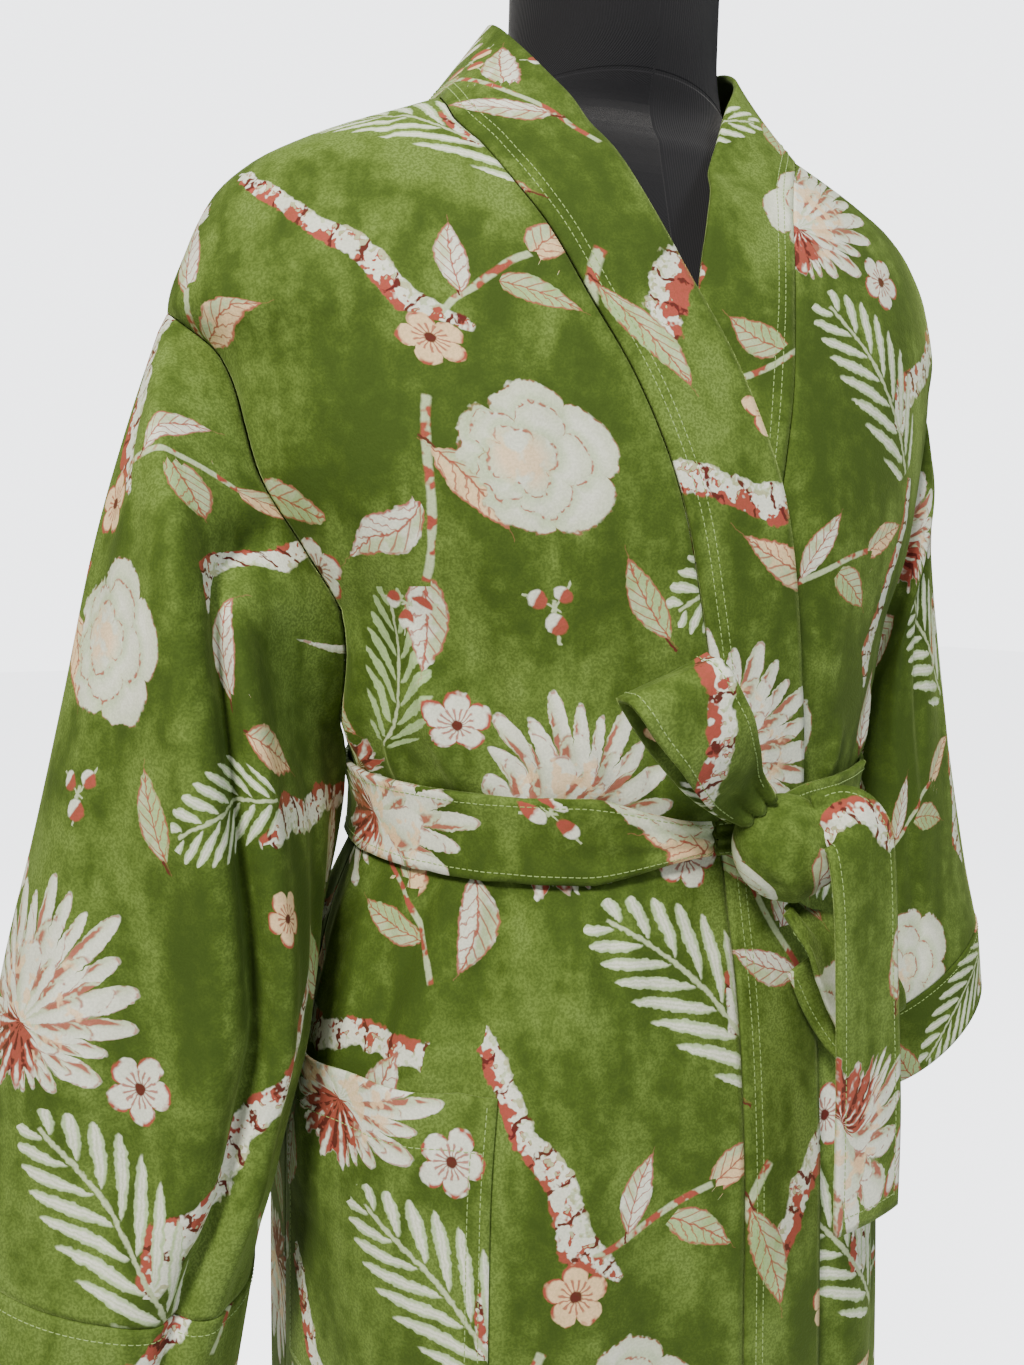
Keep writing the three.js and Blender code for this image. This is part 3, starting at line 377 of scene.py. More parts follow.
TAIL = table(STRIP_COLUMNS, [
    (30, -165, 1049, 25, 0.2, 0.05, 0.97),
    (39, -172, 1051, 34, 0.62, 0.1, 0.78),
    (45, -177, 1045, 41, 0.93, 0.14, 0.34),
    (47, -180, 1030, 44, 0.98, 0.16, 0.06),
    (49, -181, 1005, 44, 0.98, 0.18, -0.02),
    (51, -181, 970, 44, 0.98, 0.2, 0),
    (54, -180, 930, 44, 0.98, 0.2, 0),
    (57, -178, 890, 45, 0.98, 0.2, 0.02),
    (59, -176, 848, 45, 0.98, 0.2, 0.04),
])
FORM = table("z half front back", [
    (806, 136, 96, 100),
    (812, 142, 102, 106),
    (860, 149, 112, 120),
    (920, 147, 112, 118),
    (980, 133, 104, 100),
    (1040, 119, 96, 88),
    (1100, 126, 100, 92),
    (1180, 143, 108, 100),
    (1250, 158, 103, 102),
    (1310, 180, 86, 94),
    (1345, 190, 74, 84),
    (1366, 184, 68, 76),
    (1380, 177, 64, 70),
    (1390, 164.3, 61, 64),
    (1398, 149.2, 59, 60),
    (1408, 126, 52, 54),
    (1420, 84, 48, 50),
    (1436, 68, 52, 48),
    (1460, 62, 58, 45),
    (1500, 61, 64, 40),
    (1534, 61, 66, 38),
])

# One repeat of the print; across and up in millimetres, angle in degrees, size is a half length,
# and tone is 0 for cream, 1 for peach and 2 for sage
REPEAT_WIDTH = 350
REPEAT_HEIGHT = 470
FLOWER, LEAF, BRANCH, FERN, BLOSSOM, BERRIES, PEONY, TWIG = range(8)
MOTIF_NAMES = ["flower", "leaf", "branch", "fern", "blossom", "berries", "peony", "twig"]
MOTIF_REACH = [1.25, 1.3, 1.3, 1.15, 1.2, 1.2, 1.2, 1.15]
PRINT = table("kind across up angle size tone", [
    (FLOWER, 70, 396, 70, 52, 0),
    (FLOWER, 262, 150, 232, 48, 0),
    (PEONY, 86, 92, 20, 42, 0),
    (BRANCH, 206, 348, 62, 104, 0),
    (BRANCH, 36, 236, 128, 84, 0),
    (BRANCH, 298, 30, 14, 92, 0),
    (BRANCH, 170, 190, 96, 66, 0),
    (FERN, 128, 292, 132, 60, 0),
    (FERN, 330, 226, 66, 46, 2),
    (FERN, 178, 30, 196, 44, 0),
    (TWIG, 282, 412, 62, 46, 0),
    (TWIG, 30, 86, 250, 44, 0),
    (TWIG, 244, 262, 300, 38, 0),
    (TWIG, 100, 186, 20, 34, 0),
    (TWIG, 326, 98, 110, 36, 0),
    (LEAF, 14, 330, 250, 27, 0),
    (LEAF, 188, 106, 95, 26, 0),
    (LEAF, 226, 60, 340, 27, 1),
    (LEAF, 300, 330, 330, 25, 2),
    (LEAF, 122, 20, 110, 22, 2),
    (BLOSSOM, 300, 292, 10, 20, 0),
    (BLOSSOM, 130, 360, 70, 18, 0),
    (BLOSSOM, 14, 440, 0, 20, 0),
    (BLOSSOM, 60, 156, 20, 17, 1),
    (BLOSSOM, 216, 452, 50, 15, 1),
    (BERRIES, 250, 214, 40, 16, 1),
    (BERRIES, 76, 20, 100, 16, 0),
    (BERRIES, 4, 30, 200, 15, 0),
    (BERRIES, 214, 234, 30, 13, 0),
])
# A motif ends where the next one of its kind is about as near, in shares of their size
CLEAR_OF_NEXT = 0.2
# The leaves of a twig: where they start along it, which way they turn, and their size
TWIG_LEAVES = [(-0.45, 50, 0.58), (0.15, -48, 0.62), (0.85, 8, 0.62)]
TWIG_LEAF_TONES = (0, 0, 2, 1)


def mix(a, b, share):
    return a + (b - a) * share


def ease(share):
    share = np.clip(share, 0, 1)
    return share * share * (3 - 2 * share)


def signed_power(value, power):
    return np.sign(value) * np.abs(value) ** power


def unit(vectors):
    return vectors / np.maximum(np.linalg.norm(vectors, axis=-1, keepdims=True), 1e-9)


def read(rows, key, at):
    """Every column at one place, on a smooth line that never passes the rows"""
    order = np.argsort(rows[key])
    place = rows[key][order]
    at = np.clip(np.asarray(at, float), place[0], place[-1])
    i = np.clip(np.searchsorted(place, at, side="left") - 1, 0, len(place) - 2)
    span = place[i + 1] - place[i]
    s = (at - place[i]) / span
    found = {}
    for name, column in rows.items():
        value = column[order]
        rise = np.diff(value) / np.diff(place)
        product = rise[:-1] * rise[1:]
        total = np.where(product > 0, rise[:-1] + rise[1:], 1)
        inner = np.where(product > 0, 2 * product / total, 0)
        slope = np.concatenate([rise[:1], inner, rise[-1:]])
        found[name] = (
            value[i] * (2 * s**3 - 3 * s * s + 1)
            + slope[i] * span * (s**3 - 2 * s * s + s)
            + value[i + 1] * (3 * s * s - 2 * s**3)
            + slope[i + 1] * span * (s**3 - s * s)
        )
    return found


def each_row(rows):
    """The rows of a table, one after another"""
    for k in range(len(next(iter(rows.values())))):
        yield {name: column[k] for name, column in rows.items()}


def nearest_turn(angle):
    return angle - 360 * np.round(angle / 360)


def belt_height(turn):
    return mix(BELT_BACK, BELT_FRONT, (1 + np.cos(np.radians(turn))) / 2)


def fold_lift(turn, z):
    """How far the folds lift the cloth; the belt holds them flat"""
    free = 1 - np.exp(-((np.abs(z - belt_height(turn)) / BELT_HOLD) ** 4))
    near = 1 - np.exp(-((np.abs(z - belt_height(turn)) / (NARROW_HOLD * BELT_HOLD)) ** 4))
    lift = np.zeros(np.broadcast(turn, z).shape)
    for fold in each_row(FOLDS):
        along = (fold["top"] - z) / (fold["top"] - fold["bottom"])
        away = nearest_turn(turn - (fold["turn"] + fold["lean"] * along))
        fade = np.sin(np.pi * np.clip(along, 0, 1)) ** 0.8
        held = free if fold["wide"] > NARROW_FOLD else near
        lift = lift + held * fold["high"] * fade * np.exp(-((away / fold["wide"]) ** 2))
    return lift


def body_point(turn, z, out=0.0):
    """The robe's outer surface: turn is 0 in front, 90 at the wearer's left, 180 behind"""
    turn, z = np.broadcast_arrays(np.asarray(turn, float), np.asarray(z, float))
    row = read(BODY, "z", z)
    sine = np.sin(np.radians(turn))
    cosine = np.cos(np.radians(turn))
    half = np.where(sine < 0, row["right"], row["left"])
    depth = np.where(cosine > 0, row["front"], row["back"])
    x = half * signed_power(sine, 2 / row["power"])
    y = -depth * signed_power(cosine, 2 / row["power"])
    inside = np.clip(1 - ((z - ARMHOLE_MIDDLE) / ARMHOLE_REACH) ** 2, 0, 1)
    x = x - np.sign(x) * ARMHOLE_HOLLOW * inside * np.exp(-((y / ARMHOLE_HALF_DEPTH) ** 2))
    away = unit(np.stack([x / half**2, y / depth**2, np.zeros_like(x)], -1))
    lift = fold_lift(turn, z) + out
    return np.stack([x, y, z], -1) + away * np.asarray(lift)[..., None]


def body_normal(turn, z):
    step = 0.4
    across = body_point(turn + step, z) - body_point(turn - step, z)
    up = body_point(turn, z + step) - body_point(turn, z - step)
    return unit(np.cross(across, up))


def turn_at_x(x, z):
    row = read(BODY, "z", z)
    half = np.where(x < 0, row["right"], row["left"])
    share = np.clip(np.abs(x) / half, 0, 1) ** (row["power"] / 2)
    return np.sign(x) * np.degrees(np.arcsin(share))


def side_turn(z, depth, power):
    """How far round the side or armhole seam lies, on the front or the back"""
    height = np.clip((z - ARMHOLE_MIDDLE) / ARMHOLE_REACH, -1, 1)
    opening = ARMHOLE_HALF_DEPTH * np.sqrt(1 - height * height)
    return np.degrees(np.arccos(np.clip(opening / depth, 0, 1) ** (power / 2)))


def front_side_turn(z):
    row = read(BODY, "z", z)
    return side_turn(z, row["front"], row["power"]) - np.degrees(SEAM_GAP / 2 / row["front"])


def back_side_turn(z):
    row = read(BODY, "z", z)
    gap = np.degrees(SEAM_GAP / 2 / row["front"])
    return 180 - side_turn(z, row["back"], row["power"]) + gap


def column_at(rows, name, z):
    """Where an edge line, the seam or the free edge, lies across at a height"""
    key = name[:-1] + "z"
    return read({"x": rows[name], "z": rows[key]}, "z", z)["x"]


def under_depth(x, z):
    """How deep the left front goes under the right one"""
    under = (column_at(RIGHT_EDGE, "free_x", z) + UNDER_EASE + UNDER_REACH - x) / UNDER_EASE
    return UNDER_DEPTH * ease(under)


def on_body(turn, z, out):
    out = np.asarray(out, float)
    return body_point(turn, z) + body_normal(turn, z) * out[..., None]


def right_front(u, v):
    z = mix(HEM_HEIGHT, FRONT_TOP, v)
    seam = turn_at_x(column_at(RIGHT_EDGE, "seam_x", z), z) - BAND_SEAM_TURN
    return on_body(mix(-front_side_turn(z), seam, u), z, np.zeros_like(u))


def left_front(u, v):
    z = mix(HEM_HEIGHT, FRONT_TOP, v)
    seam = turn_at_x(column_at(LEFT_EDGE, "seam_x", z), z) + BAND_SEAM_TURN
    turn = mix(seam, front_side_turn(z), u)
    return on_body(turn, z, -under_depth(body_point(turn, z)[..., 0], z))


def back_place(share, height):
    near = np.clip((height - BACK_NECK_BOTTOM) / (BACK_TOP - BACK_NECK_BOTTOM), 0, 1)
    dip = BACK_NECK_DIP * near * (1 - (2 * share - 1) ** 2)
    turn = mix(360 - back_side_turn(height), back_side_turn(height), share)
    return turn, height - dip


def back(u, v):
    turn, z = back_place(1 - u, mix(HEM_HEIGHT, BACK_TOP, v))
    return on_body(turn, z, np.zeros_like(u))


def pocket(u, v):
    """The right front's own points, moved out, with its mouth standing a little open"""
    z = mix(POCKET_BOTTOM, POCKET_TOP, v)
    seam = turn_at_x(column_at(RIGHT_EDGE, "seam_x", z), z) - BAND_SEAM_TURN
    share = mix(POCKET_BACK_SHARE, POCKET_FRONT_SHARE, u)
    gape = POCKET_GAPE * v**6 * np.sin(np.pi * np.clip(u, 0, 1)) ** 0.7
    turn = mix(seam, -front_side_turn(z), share)
    return on_body(turn, z, POCKET_WALL + POCKET_CLEAR + gape)


def no_depth(x, z):
    """The right front lies on top, so it goes under nothing"""
    return np.zeros_like(x)


def band_point(x, z, depth_at):
    turn = turn_at_x(x, z)
    return body_point(turn, z) + body_normal(turn, z) * (BAND_PROUD - depth_at(x, z))[..., None]


def band_lines(side, edge, depth_at):
    """The band's seam, middle and free edge, from the middle of the back down to the hem"""
    share = np.linspace(0, 1, 40)
    turn, z = back_place(0.5 + side * share / 2, np.full_like(share, BACK_TOP))
    away = body_normal(turn, z)
    away[:, 2] = 0
    seam = body_point(turn, z) + unit(away) * BAND_PROUD
    seam[:, 2] += 4 * SEAM_GAP
    row = read(COLLAR, "share", share)
    free = np.stack([side * row["free_x"], row["free_y"], row["free_z"]], -1)
    seam[0, 0] = side * SEAM_GAP / 2
    free[0, 0] = side * SEAM_GAP / 2
    behind = [seam, (seam + free) / 2, free]

    z = np.concatenate([np.linspace(FRONT_TOP, 1300, 60), np.linspace(1296, HEM_HEIGHT, 230)])
    row = read(edge, "seam_z", z)
    seam = band_point(row["seam_x"], z, depth_at)
    free = band_point(row["free_x"], row["free_z"], depth_at)
    middle = band_point((row["seam_x"] + row["free_x"]) / 2, (z + row["free_z"]) / 2, depth_at)
    standing = ease((z - COLLAR_END) / COLLAR_EASE)[:, None]
    upright_y = read(COLLAR_FRONT, "seam_z", z)["free_y"]
    upright = np.stack([row["free_x"], upright_y, row["free_z"]], -1)
    free = mix(free, upright, standing)
    middle = mix(middle, (seam + upright) / 2, standing)
    return [np.concatenate([a, b]) for a, b in zip(behind, [seam, middle, free])]


def along_rows(lines, share):
    """Points at a share of the length of matching lines, measured along the middle one"""
    middle = lines[len(lines) // 2]
    steps = np.linalg.norm(np.diff(middle, axis=0), axis=1)
    length = np.concatenate([[0], np.cumsum(steps)])
    at = share * length[-1]
    return [along_line(line, length, at) for line in lines]


def smooth_lines(lines):
    """Takes small steps out of matching lines without moving their ends"""
    for _ in range(6):
        for line in lines:
            line[1:-1] = (line[:-2] + 2 * line[1:-1] + line[2:]) / 4
    return lines


def neckband(side, edge, depth_at):
    lines = smooth_lines(band_lines(side, edge, depth_at))

    def shape(u, v):
        share = 1 - u if side < 0 else u
        seam, middle, free = along_rows(lines, v)
        s = share[..., None]
        return (1 - s) * (1 - 2 * s) * seam + 4 * s * (1 - s) * middle + s * (2 * s - 1) * free

    return shape


def armhole_ring(side, angle):
    """The points of the body where a sleeve starts, a seam's gap away from it"""
    z = ARMHOLE_MIDDLE + ARMHOLE_REACH * np.cos(angle)
    row = read(BODY, "z", z)
    behind = np.sin(angle) < 0
    turn = np.where(
        behind,
        180 - side_turn(z, row["back"], row["power"]),
        side_turn(z, row["front"], row["power"]),
    )
    points = body_point(side * turn, z)
    points[..., 0] += side * 2 * SEAM_GAP
    return points


def sleeve_ring(rows, folds, place, angle, proud=0.0):
    """A ring across a sleeve; angle 0 is its outer edge and a quarter turn its front"""
    row = read(rows, "row", place)
    away = np.stack([row["out_x"] - row["in_x"], 0 * place, row["out_z"] - row["in_z"]], -1)
    reach = np.linalg.norm(away, axis=-1) / 2 + proud
    away = unit(away)
    sine, cosine = np.sin(angle), np.cos(angle)
    front = sine > 0
    depth = np.where(front, row["front"], row["back"]) + proud
    power = np.where(cosine < 0, row["hollow"], 1.1)
    shape = np.where(front, np.abs(sine) ** power, np.abs(sine))
    middle_x = (row["out_x"] + row["in_x"]) / 2
    middle_z = (row["out_z"] + row["in_z"]) / 2
    lift = np.zeros_like(place)
    for fold in each_row(folds):
        along = (place - fold["start"]) / (fold["end"] - fold["start"])
        apart = nearest_turn(np.degrees(angle) - (fold["angle"] + fold["lean"] * along))
        fade = np.sin(np.pi * np.clip(along, 0, 1))
        lift = lift + fold["high"] * fade * np.exp(-((apart / fold["wide"]) ** 2))
    x = middle_x + away[..., 0] * (reach + lift) * cosine
    z = middle_z + away[..., 2] * (reach + lift) * cosine
    y = np.where(front, -1, 1) * (depth + lift) * shape
    x = x + np.where(front, row["crease"] * sine * sine, 0)
    return np.stack([x, y, z], -1)


def sleeve(side, rows, folds):
    def shape(u, v):
        angle = np.pi - side * 2 * np.pi * u
        place = mix(CUFF_START - CUFF_GAP, -1, v)
        ring = sleeve_ring(rows, folds, np.maximum(place, 0), angle)
        start = armhole_ring(side, angle)
        share = np.clip(-place, 0, 1)[..., None]
        return mix(ring, start, share)

    return shape


def cuff(side, rows, folds):
    def shape(u, v):
        angle = np.pi - side * 2 * np.pi * u
        return sleeve_ring(rows, folds, mix(CUFF_END, CUFF_START, v), angle, BAND_PROUD)

    return shape


def waist_belt(u, v):
    """The belt from one side of the knot round to the other, gathered where it meets the knot"""
    last = 360 + BELT_GAP_TURN - 1
    turn = mix(last, BELT_GAP_TURN, u)
    from_knot = np.minimum(turn - BELT_GAP_TURN, last - turn)
    gather = 1 - ease(from_knot / BELT_PINCH_TURN)
    pinch = mix(1, BELT_PINCH, gather)
    share = 0.5 - v
    height = belt_height(turn)
    z = height - share * BELT_WIDTH * pinch
    stand = np.maximum(read(BODY, "z", height)["front"] - read(BODY, "z", z)["front"], 0)
    ridges = BELT_RIDGE * np.sin(19 * share + 1.2) * ease(1 - from_knot / (2.2 * BELT_PINCH_TURN))
    rounded = 1 - 4 * share * share
    wave = BELT_WAVE * np.sin(np.radians(turn) * 7 + 9 * share) * rounded
    crown = BELT_WALL + BELT_CROWN * rounded + gather * BELT_BULGE_AT_KNOT + ridges + wave
    away = body_normal(-turn, z)
    away[..., 2] = 0
    return body_point(-turn, z, BELT_CLEAR + stand) + unit(away) * crown[..., None]


def strip(rows, rumple=0.0, side=1.0):
    """A flat strip of belt along rows; side says which way its face looks"""
    count = len(rows["x"])
    rows = dict(rows, row=np.arange(count, dtype=float))

    def shape(u, v):
        place = v * (count - 1)
        row = read(rows, "row", place)
        middle = np.stack([row["x"], row["y"], row["z"]], -1)
        ahead = read(rows, "row", place + 0.05)
        behind = read(rows, "row", place - 0.05)
        along = unit(np.stack([ahead[k] - behind[k] for k in "xyz"], -1))
        across = np.stack([row["across_x"], row["across_y"], row["across_z"]], -1)
        across = unit(across - along * np.sum(across * along, -1, keepdims=True))
        normal = np.cross(across, along) * side
        share = (u - 0.5) * side
        squeeze = ease(1 - v / STRIP_GATHER_SHARE)
        ridges = rumple * squeeze * np.sin(share * 16 + 0.8)
        dome = STRIP_CROWN * (1 - 4 * share * share)
        bend = STRIP_BEND * np.sin(v * 7 + share * 3)
        lift = (ridges + dome + bend)[..., None]
        return middle + across * (share * row["wide"])[..., None] + normal * lift

    return shape


def knot(u, v):
    """A rounded wrap of cloth over the crossing, with creases that lean with it"""
    polar = np.pi * np.clip(v, 0.002, 0.998)
    turn = 2 * np.pi * u
    x = np.sin(polar) * np.cos(turn)
    y = np.sin(polar) * np.sin(turn)
    z = -np.cos(polar)
    front = np.clip(-y, 0, 1)
    crease = 0.055 * np.sin(8.5 * z + 1.6 * x + 0.5) * front + 0.03 * np.sin(17 * z + 3 * x) * front
    waist = 1 - 0.1 * front * np.exp(-((x / 0.35) ** 2)) * np.abs(z)
    x, y, z = x * (1 + crease), y * (1 + crease), z * (1 + crease) * waist
    x, y, z = x * KNOT_HALF[0], y * KNOT_HALF[1], z * KNOT_HALF[2]
    lean = math.radians(KNOT_LEAN)
    return np.stack([
        KNOT_MIDDLE[0] + x * math.cos(lean) + z * math.sin(lean),
        KNOT_MIDDLE[1] + y,
        KNOT_MIDDLE[2] - x * math.sin(lean) + z * math.cos(lean),
    ], -1)


def form_torso(u, v):
    """The form's closed shape; its first and last rows close the bottom and the top"""
    cap = 0.04
    z = mix(FORM_BOTTOM, FORM["z"].max(), np.clip((v - cap) / (1 - 2 * cap), 0, 1))
    row = read(FORM, "z", z)
    turn = 2 * np.pi * u
    closing = np.clip(v / cap, 0, 1) * np.clip((1 - v) / cap, 0, 1)
    depth = np.where(np.cos(turn) > 0, row["front"], row["back"])
    return np.stack([
        closing * row["half"] * np.sin(turn),
        -closing * depth * np.cos(turn) - (1 - closing) * (row["front"] - row["back"]) / 2,
        z,
    ], -1)


def lathe(profile, half=1.0, depth=1.0, middle_y=0.0, floor=0.0):
    """A turned shape from radius and height pairs, which may be squeezed to an ellipse"""
    radius = np.array([row[0] for row in profile], float)
    height = np.array([row[1] for row in profile], float)
    steps = np.hypot(np.diff(radius), np.diff(height))
    length = np.concatenate([[0], np.cumsum(steps)])

    def shape(u, v):
        r = np.interp(v * length[-1], length, radius)
        z = np.interp(v * length[-1], length, height)
        turn = 2 * np.pi * u
        return np.stack([half * r * np.sin(turn), middle_y - depth * r * np.cos(turn), floor + z], -1)

    return shape


def placed(name, data):
    """A new object in the scene"""
    piece = bpy.data.objects.new(name, data)
    bpy.context.collection.objects.link(piece)
    return piece


def plain_grid(name, across, down, size):
    """A flat square mesh of across by down faces"""
    work = bmesh.new()
    bmesh.ops.create_grid(work, x_segments=across, y_segments=down, size=size)
    mesh = bpy.data.meshes.new(name)
    work.to_mesh(mesh)
    work.free()
    return mesh


def grid(name, across, down, shape):
    """A sheet of across by down faces, laid out by shape from two shares, 0 to 1"""
    mesh = plain_grid(name, across, down, 0.5)
    place = np.empty(3 * len(mesh.vertices))
    mesh.vertices.foreach_get("co", place)
    u, v = np.clip(place[0::3] + 0.5, 0, 1), np.clip(place[1::3] + 0.5, 0, 1)
    points = shape(u, v)
    mesh.vertices.foreach_set("co", (points / 1000).ravel())
    mesh.polygons.foreach_set("use_smooth", np.ones(len(mesh.polygons), bool))
    mesh.update()
    return placed(name, mesh), u, v, points


def with_twig_leaves(rows):
    """Adds the leaves that grow along every twig of the print"""
    more = {name: list(column) for name, column in rows.items()}
    for k in np.flatnonzero(rows["kind"] == TWIG):
        length = rows["size"][k]
        for n, (start, turn, size) in enumerate(TWIG_LEAVES):
            lean = math.radians(rows["angle"][k])
            angle = lean + math.radians(turn)
            reach = 1.02 * size * length
            along = start * length * math.cos(lean) + reach * math.cos(angle)
            rise = start * length * math.sin(lean) + reach * math.sin(angle)
            leaf = {
                "kind": LEAF, "across": rows["across"][k] + along, "up": rows["up"][k] + rise,
                "angle": math.degrees(angle), "size": size * length,
                "tone": TWIG_LEAF_TONES[(k + n) % len(TWIG_LEAF_TONES)],
            }
            for name, value in leaf.items():
                more[name].append(value)
    return {name: np.array(column) for name, column in more.items()}


def laid_flat(u, v, points, across, down, anchor):
    """How far each point lies along the cloth, across from a column and up, in millimetres"""
    order = np.lexsort((np.round(u * across), np.round(v * down)))
    sheet = points[order].reshape(down + 1, across + 1, 3)
    side = np.cumsum(np.linalg.norm(np.diff(sheet, axis=1), axis=2), axis=1)
    side = np.pad(side, ((0, 0), (1, 0)))
    side = side - side[:, [round(anchor * across)]]
    up = np.cumsum(np.linalg.norm(np.diff(sheet, axis=0), axis=2), axis=0)
    up = np.pad(up, ((1, 0), (0, 0)))
    flat_across, flat_up = np.empty(len(u)), np.empty(len(u))
    flat_across[order] = side.ravel()
    flat_up[order] = up.ravel()
    return flat_across, flat_up


def print_places(piece, across, up):
    """Writes, for each kind of motif, where every point lies in the nearest one"""
    rows = with_twig_leaves(PRINT)
    for kind, name in enumerate(MOTIF_NAMES):
        best = np.full(len(across), 1e9)
        second = best.copy()
        found = np.zeros((len(across), 4))
        for k in np.flatnonzero(rows["kind"] == kind):
            column = np.round((across - rows["across"][k]) / REPEAT_WIDTH)
            x = across - rows["across"][k] - column * REPEAT_WIDTH
            y = up - rows["up"][k] + (column % 2) * REPEAT_HEIGHT / 2
            y = y - np.round(y / REPEAT_HEIGHT) * REPEAT_HEIGHT
            angle = math.radians(rows["angle"][k])
            a = (x * math.cos(angle) + y * math.sin(angle)) / rows["size"][k]
            b = (y * math.cos(angle) - x * math.sin(angle)) / rows["size"][k]
            away = np.maximum(np.abs(a), 2.0 * np.abs(b)) if kind == BRANCH else np.hypot(a, b)
            nearer = away < best
            second = np.where(nearer, best, np.minimum(second, away))
            best = np.where(nearer, away, best)
            found[nearer, 0] = a[nearer]
            found[nearer, 1] = b[nearer]
            found[nearer, 3] = rows["tone"][k]
        found[:, 2] = (best < MOTIF_REACH[kind]) & (second - best > CLEAR_OF_NEXT)
        attribute = piece.data.attributes.new(name, "FLOAT_COLOR", "POINT")
        attribute.data.foreach_set("color", found.ravel())


def cut_map(piece, across, up):
    """The flat cut as a UV map, in metres"""
    layer = piece.data.uv_layers.new(name="cut")
    corner = np.empty(len(piece.data.loops), int)
    piece.data.loops.foreach_get("vertex_index", corner)
    flat = np.stack([across, up], -1)[corner] / 1000
    layer.data.foreach_set("uv", flat.ravel())


def sewn(
    name, shape, size, anchor=0.0, shift=(0, 0), wall=CLOTH_WALL, offset=-1.0, swap=False,
    inside=1,
):
    """One cut piece of velvet, printed, with its thickness; inside 0 prints both faces"""
    across, down = size
    piece, u, v, points = grid(name, across, down, shape)
    flat_across, flat_up = laid_flat(u, v, points, across, down, anchor)
    cut_map(piece, flat_across, flat_up)
    if swap:
        flat_across, flat_up = flat_up, flat_across
    print_places(piece, flat_across + shift[0], flat_up + shift[1])
    thick = piece.modifiers.new("thickness", "SOLIDIFY")
    thick.thickness = wall / 1000
    thick.offset = offset
    thick.material_offset = inside
    piece.data.materials.append(VELVET)
    piece.data.materials.append(VELVET_BACK)
    return piece


def plain(name, shape, size, material):
    piece = grid(name, *size, shape)[0]
    piece.data.materials.append(material)
    return piece


def facing(shape, u, v):
    """Which way a shape looks at a pair of shares"""
    step = 1e-3
    side = shape(np.clip(u + step, 0, 1), v) - shape(np.clip(u - step, 0, 1), v)
    up = shape(u, np.clip(v + step, 0, 1)) - shape(u, np.clip(v - step, 0, 1))
    return unit(np.cross(side, up))


def along_line(points, length, at):
    return np.stack([np.interp(at, length, points[:, k]) for k in range(3)], -1)


def stitches(name, shape, start, end):
    """A row of stitches over a piece, from one pair of shares to another"""
    share = np.linspace(0, 1, 400)
    u = mix(start[0], end[0], share)
    v = mix(start[1], end[1], share)
    points = shape(u, v)
    normal = facing(shape, u, v)
    length = np.concatenate([[0], np.cumsum(np.linalg.norm(np.diff(points, axis=0), axis=1))])
    count = max(2, round(length[-1] / STITCH_LENGTH))

    def thread(s, t):
        at = s * length[-1]
        middle = along_line(points, length, at)
        out = unit(along_line(normal, length, at))
        ahead = along_line(points, length, at + 0.5)
        before = along_line(points, length, at - 0.5)
        sideways = np.cross(unit(ahead - before), out)
        phase = (s * count) % 1
        lift = np.where((phase > 0.1) & (phase < 0.85), STITCH_RISE, -STITCH_SINK)
        angle = 2 * np.pi * t
        around = sideways * np.cos(angle)[..., None] + out * np.sin(angle)[..., None]
        return middle + out * lift[..., None] + around * THREAD_RADIUS

    return plain(name, thread, (4 * count, 4), THREAD)


def set_input(tree, socket, value):
    """Links a number or colour made by nodes, or writes a constant"""
    value = getattr(value, "socket", value)
    if hasattr(value, "is_output"):
        tree.links.new(value, socket)
    else:
        socket.default_value = value


class Value:
    """A number in a material, so that it can be written like plain arithmetic"""

    def __init__(self, tree, socket):
        self.tree = tree
        self.socket = socket

    def work(self, operation, *others, clamp=False):
        node = self.tree.nodes.new("ShaderNodeMath")
        node.operation = operation
        node.use_clamp = clamp
        for place, value in enumerate((self, *others)):
            set_input(self.tree, node.inputs[place], value)
        return Value(self.tree, node.outputs[0])

    def __add__(self, other):
        return self.work("ADD", other)

    __radd__ = __add__

    def __sub__(self, other):
        return self.work("SUBTRACT", other)

    def __rsub__(self, other):
        return self.work("MULTIPLY", -1.0) + other

    def __mul__(self, other):
        return self.work("MULTIPLY", other)

    __rmul__ = __mul__

    def __abs__(self):
        return self.work("ABSOLUTE")

    def __pow__(self, other):
        return self.work("POWER", other)

    def most(self, other):
        return self.work("MAXIMUM", other)

    def below(self, edge, soft):
        """1 under the edge and 0 over it, with a soft step between"""
        return ((edge - self) * (1 / soft)).work("ADD", 0.5, clamp=True)

    def above(self, edge, soft):
        return 1 - self.below(edge, soft)

    def sine(self):
        return self.work("SINE")

    def cosine(self):
        return self.work("COSINE")

    def part(self):
        return self.work("FRACT")


def srgb(code):
    """A hex colour as the linear numbers that materials use"""
    parts = [int(code[k:k + 2], 16) / 255 for k in (1, 3, 5)]
    line = [c / 12.92 if c <= 0.04045 else ((c + 0.055) / 1.055) ** 2.4 for c in parts]
    return (*line, 1.0)


def add_node(tree, kind, **inputs):
    node = tree.nodes.new(kind)
    for name, value in inputs.items():
        set_input(tree, node.inputs[name.replace("_", " ")], value)
    return node


def noise(tree, place, size_mm, detail=2.0, distort=0.0):
    """A soft random number from 0 to 1, with patches of about one size"""
    node = add_node(
        tree, "ShaderNodeTexNoise", Vector=place, Scale=1000 / size_mm, Detail=detail,
        Distortion=distort,
    )
    return Value(tree, node.outputs["Fac"])


def blend(tree, amount, first, second):
    """One colour over another"""
    node = tree.nodes.new("ShaderNodeMix")
    node.data_type = "RGBA"
    for name, value in (("Factor_Float", amount), ("A_Color", first), ("B_Color", second)):
        socket = next(s for s in node.inputs if s.identifier == name)
        set_input(tree, socket, value)
    return next(s for s in node.outputs if s.identifier == "Result_Color")


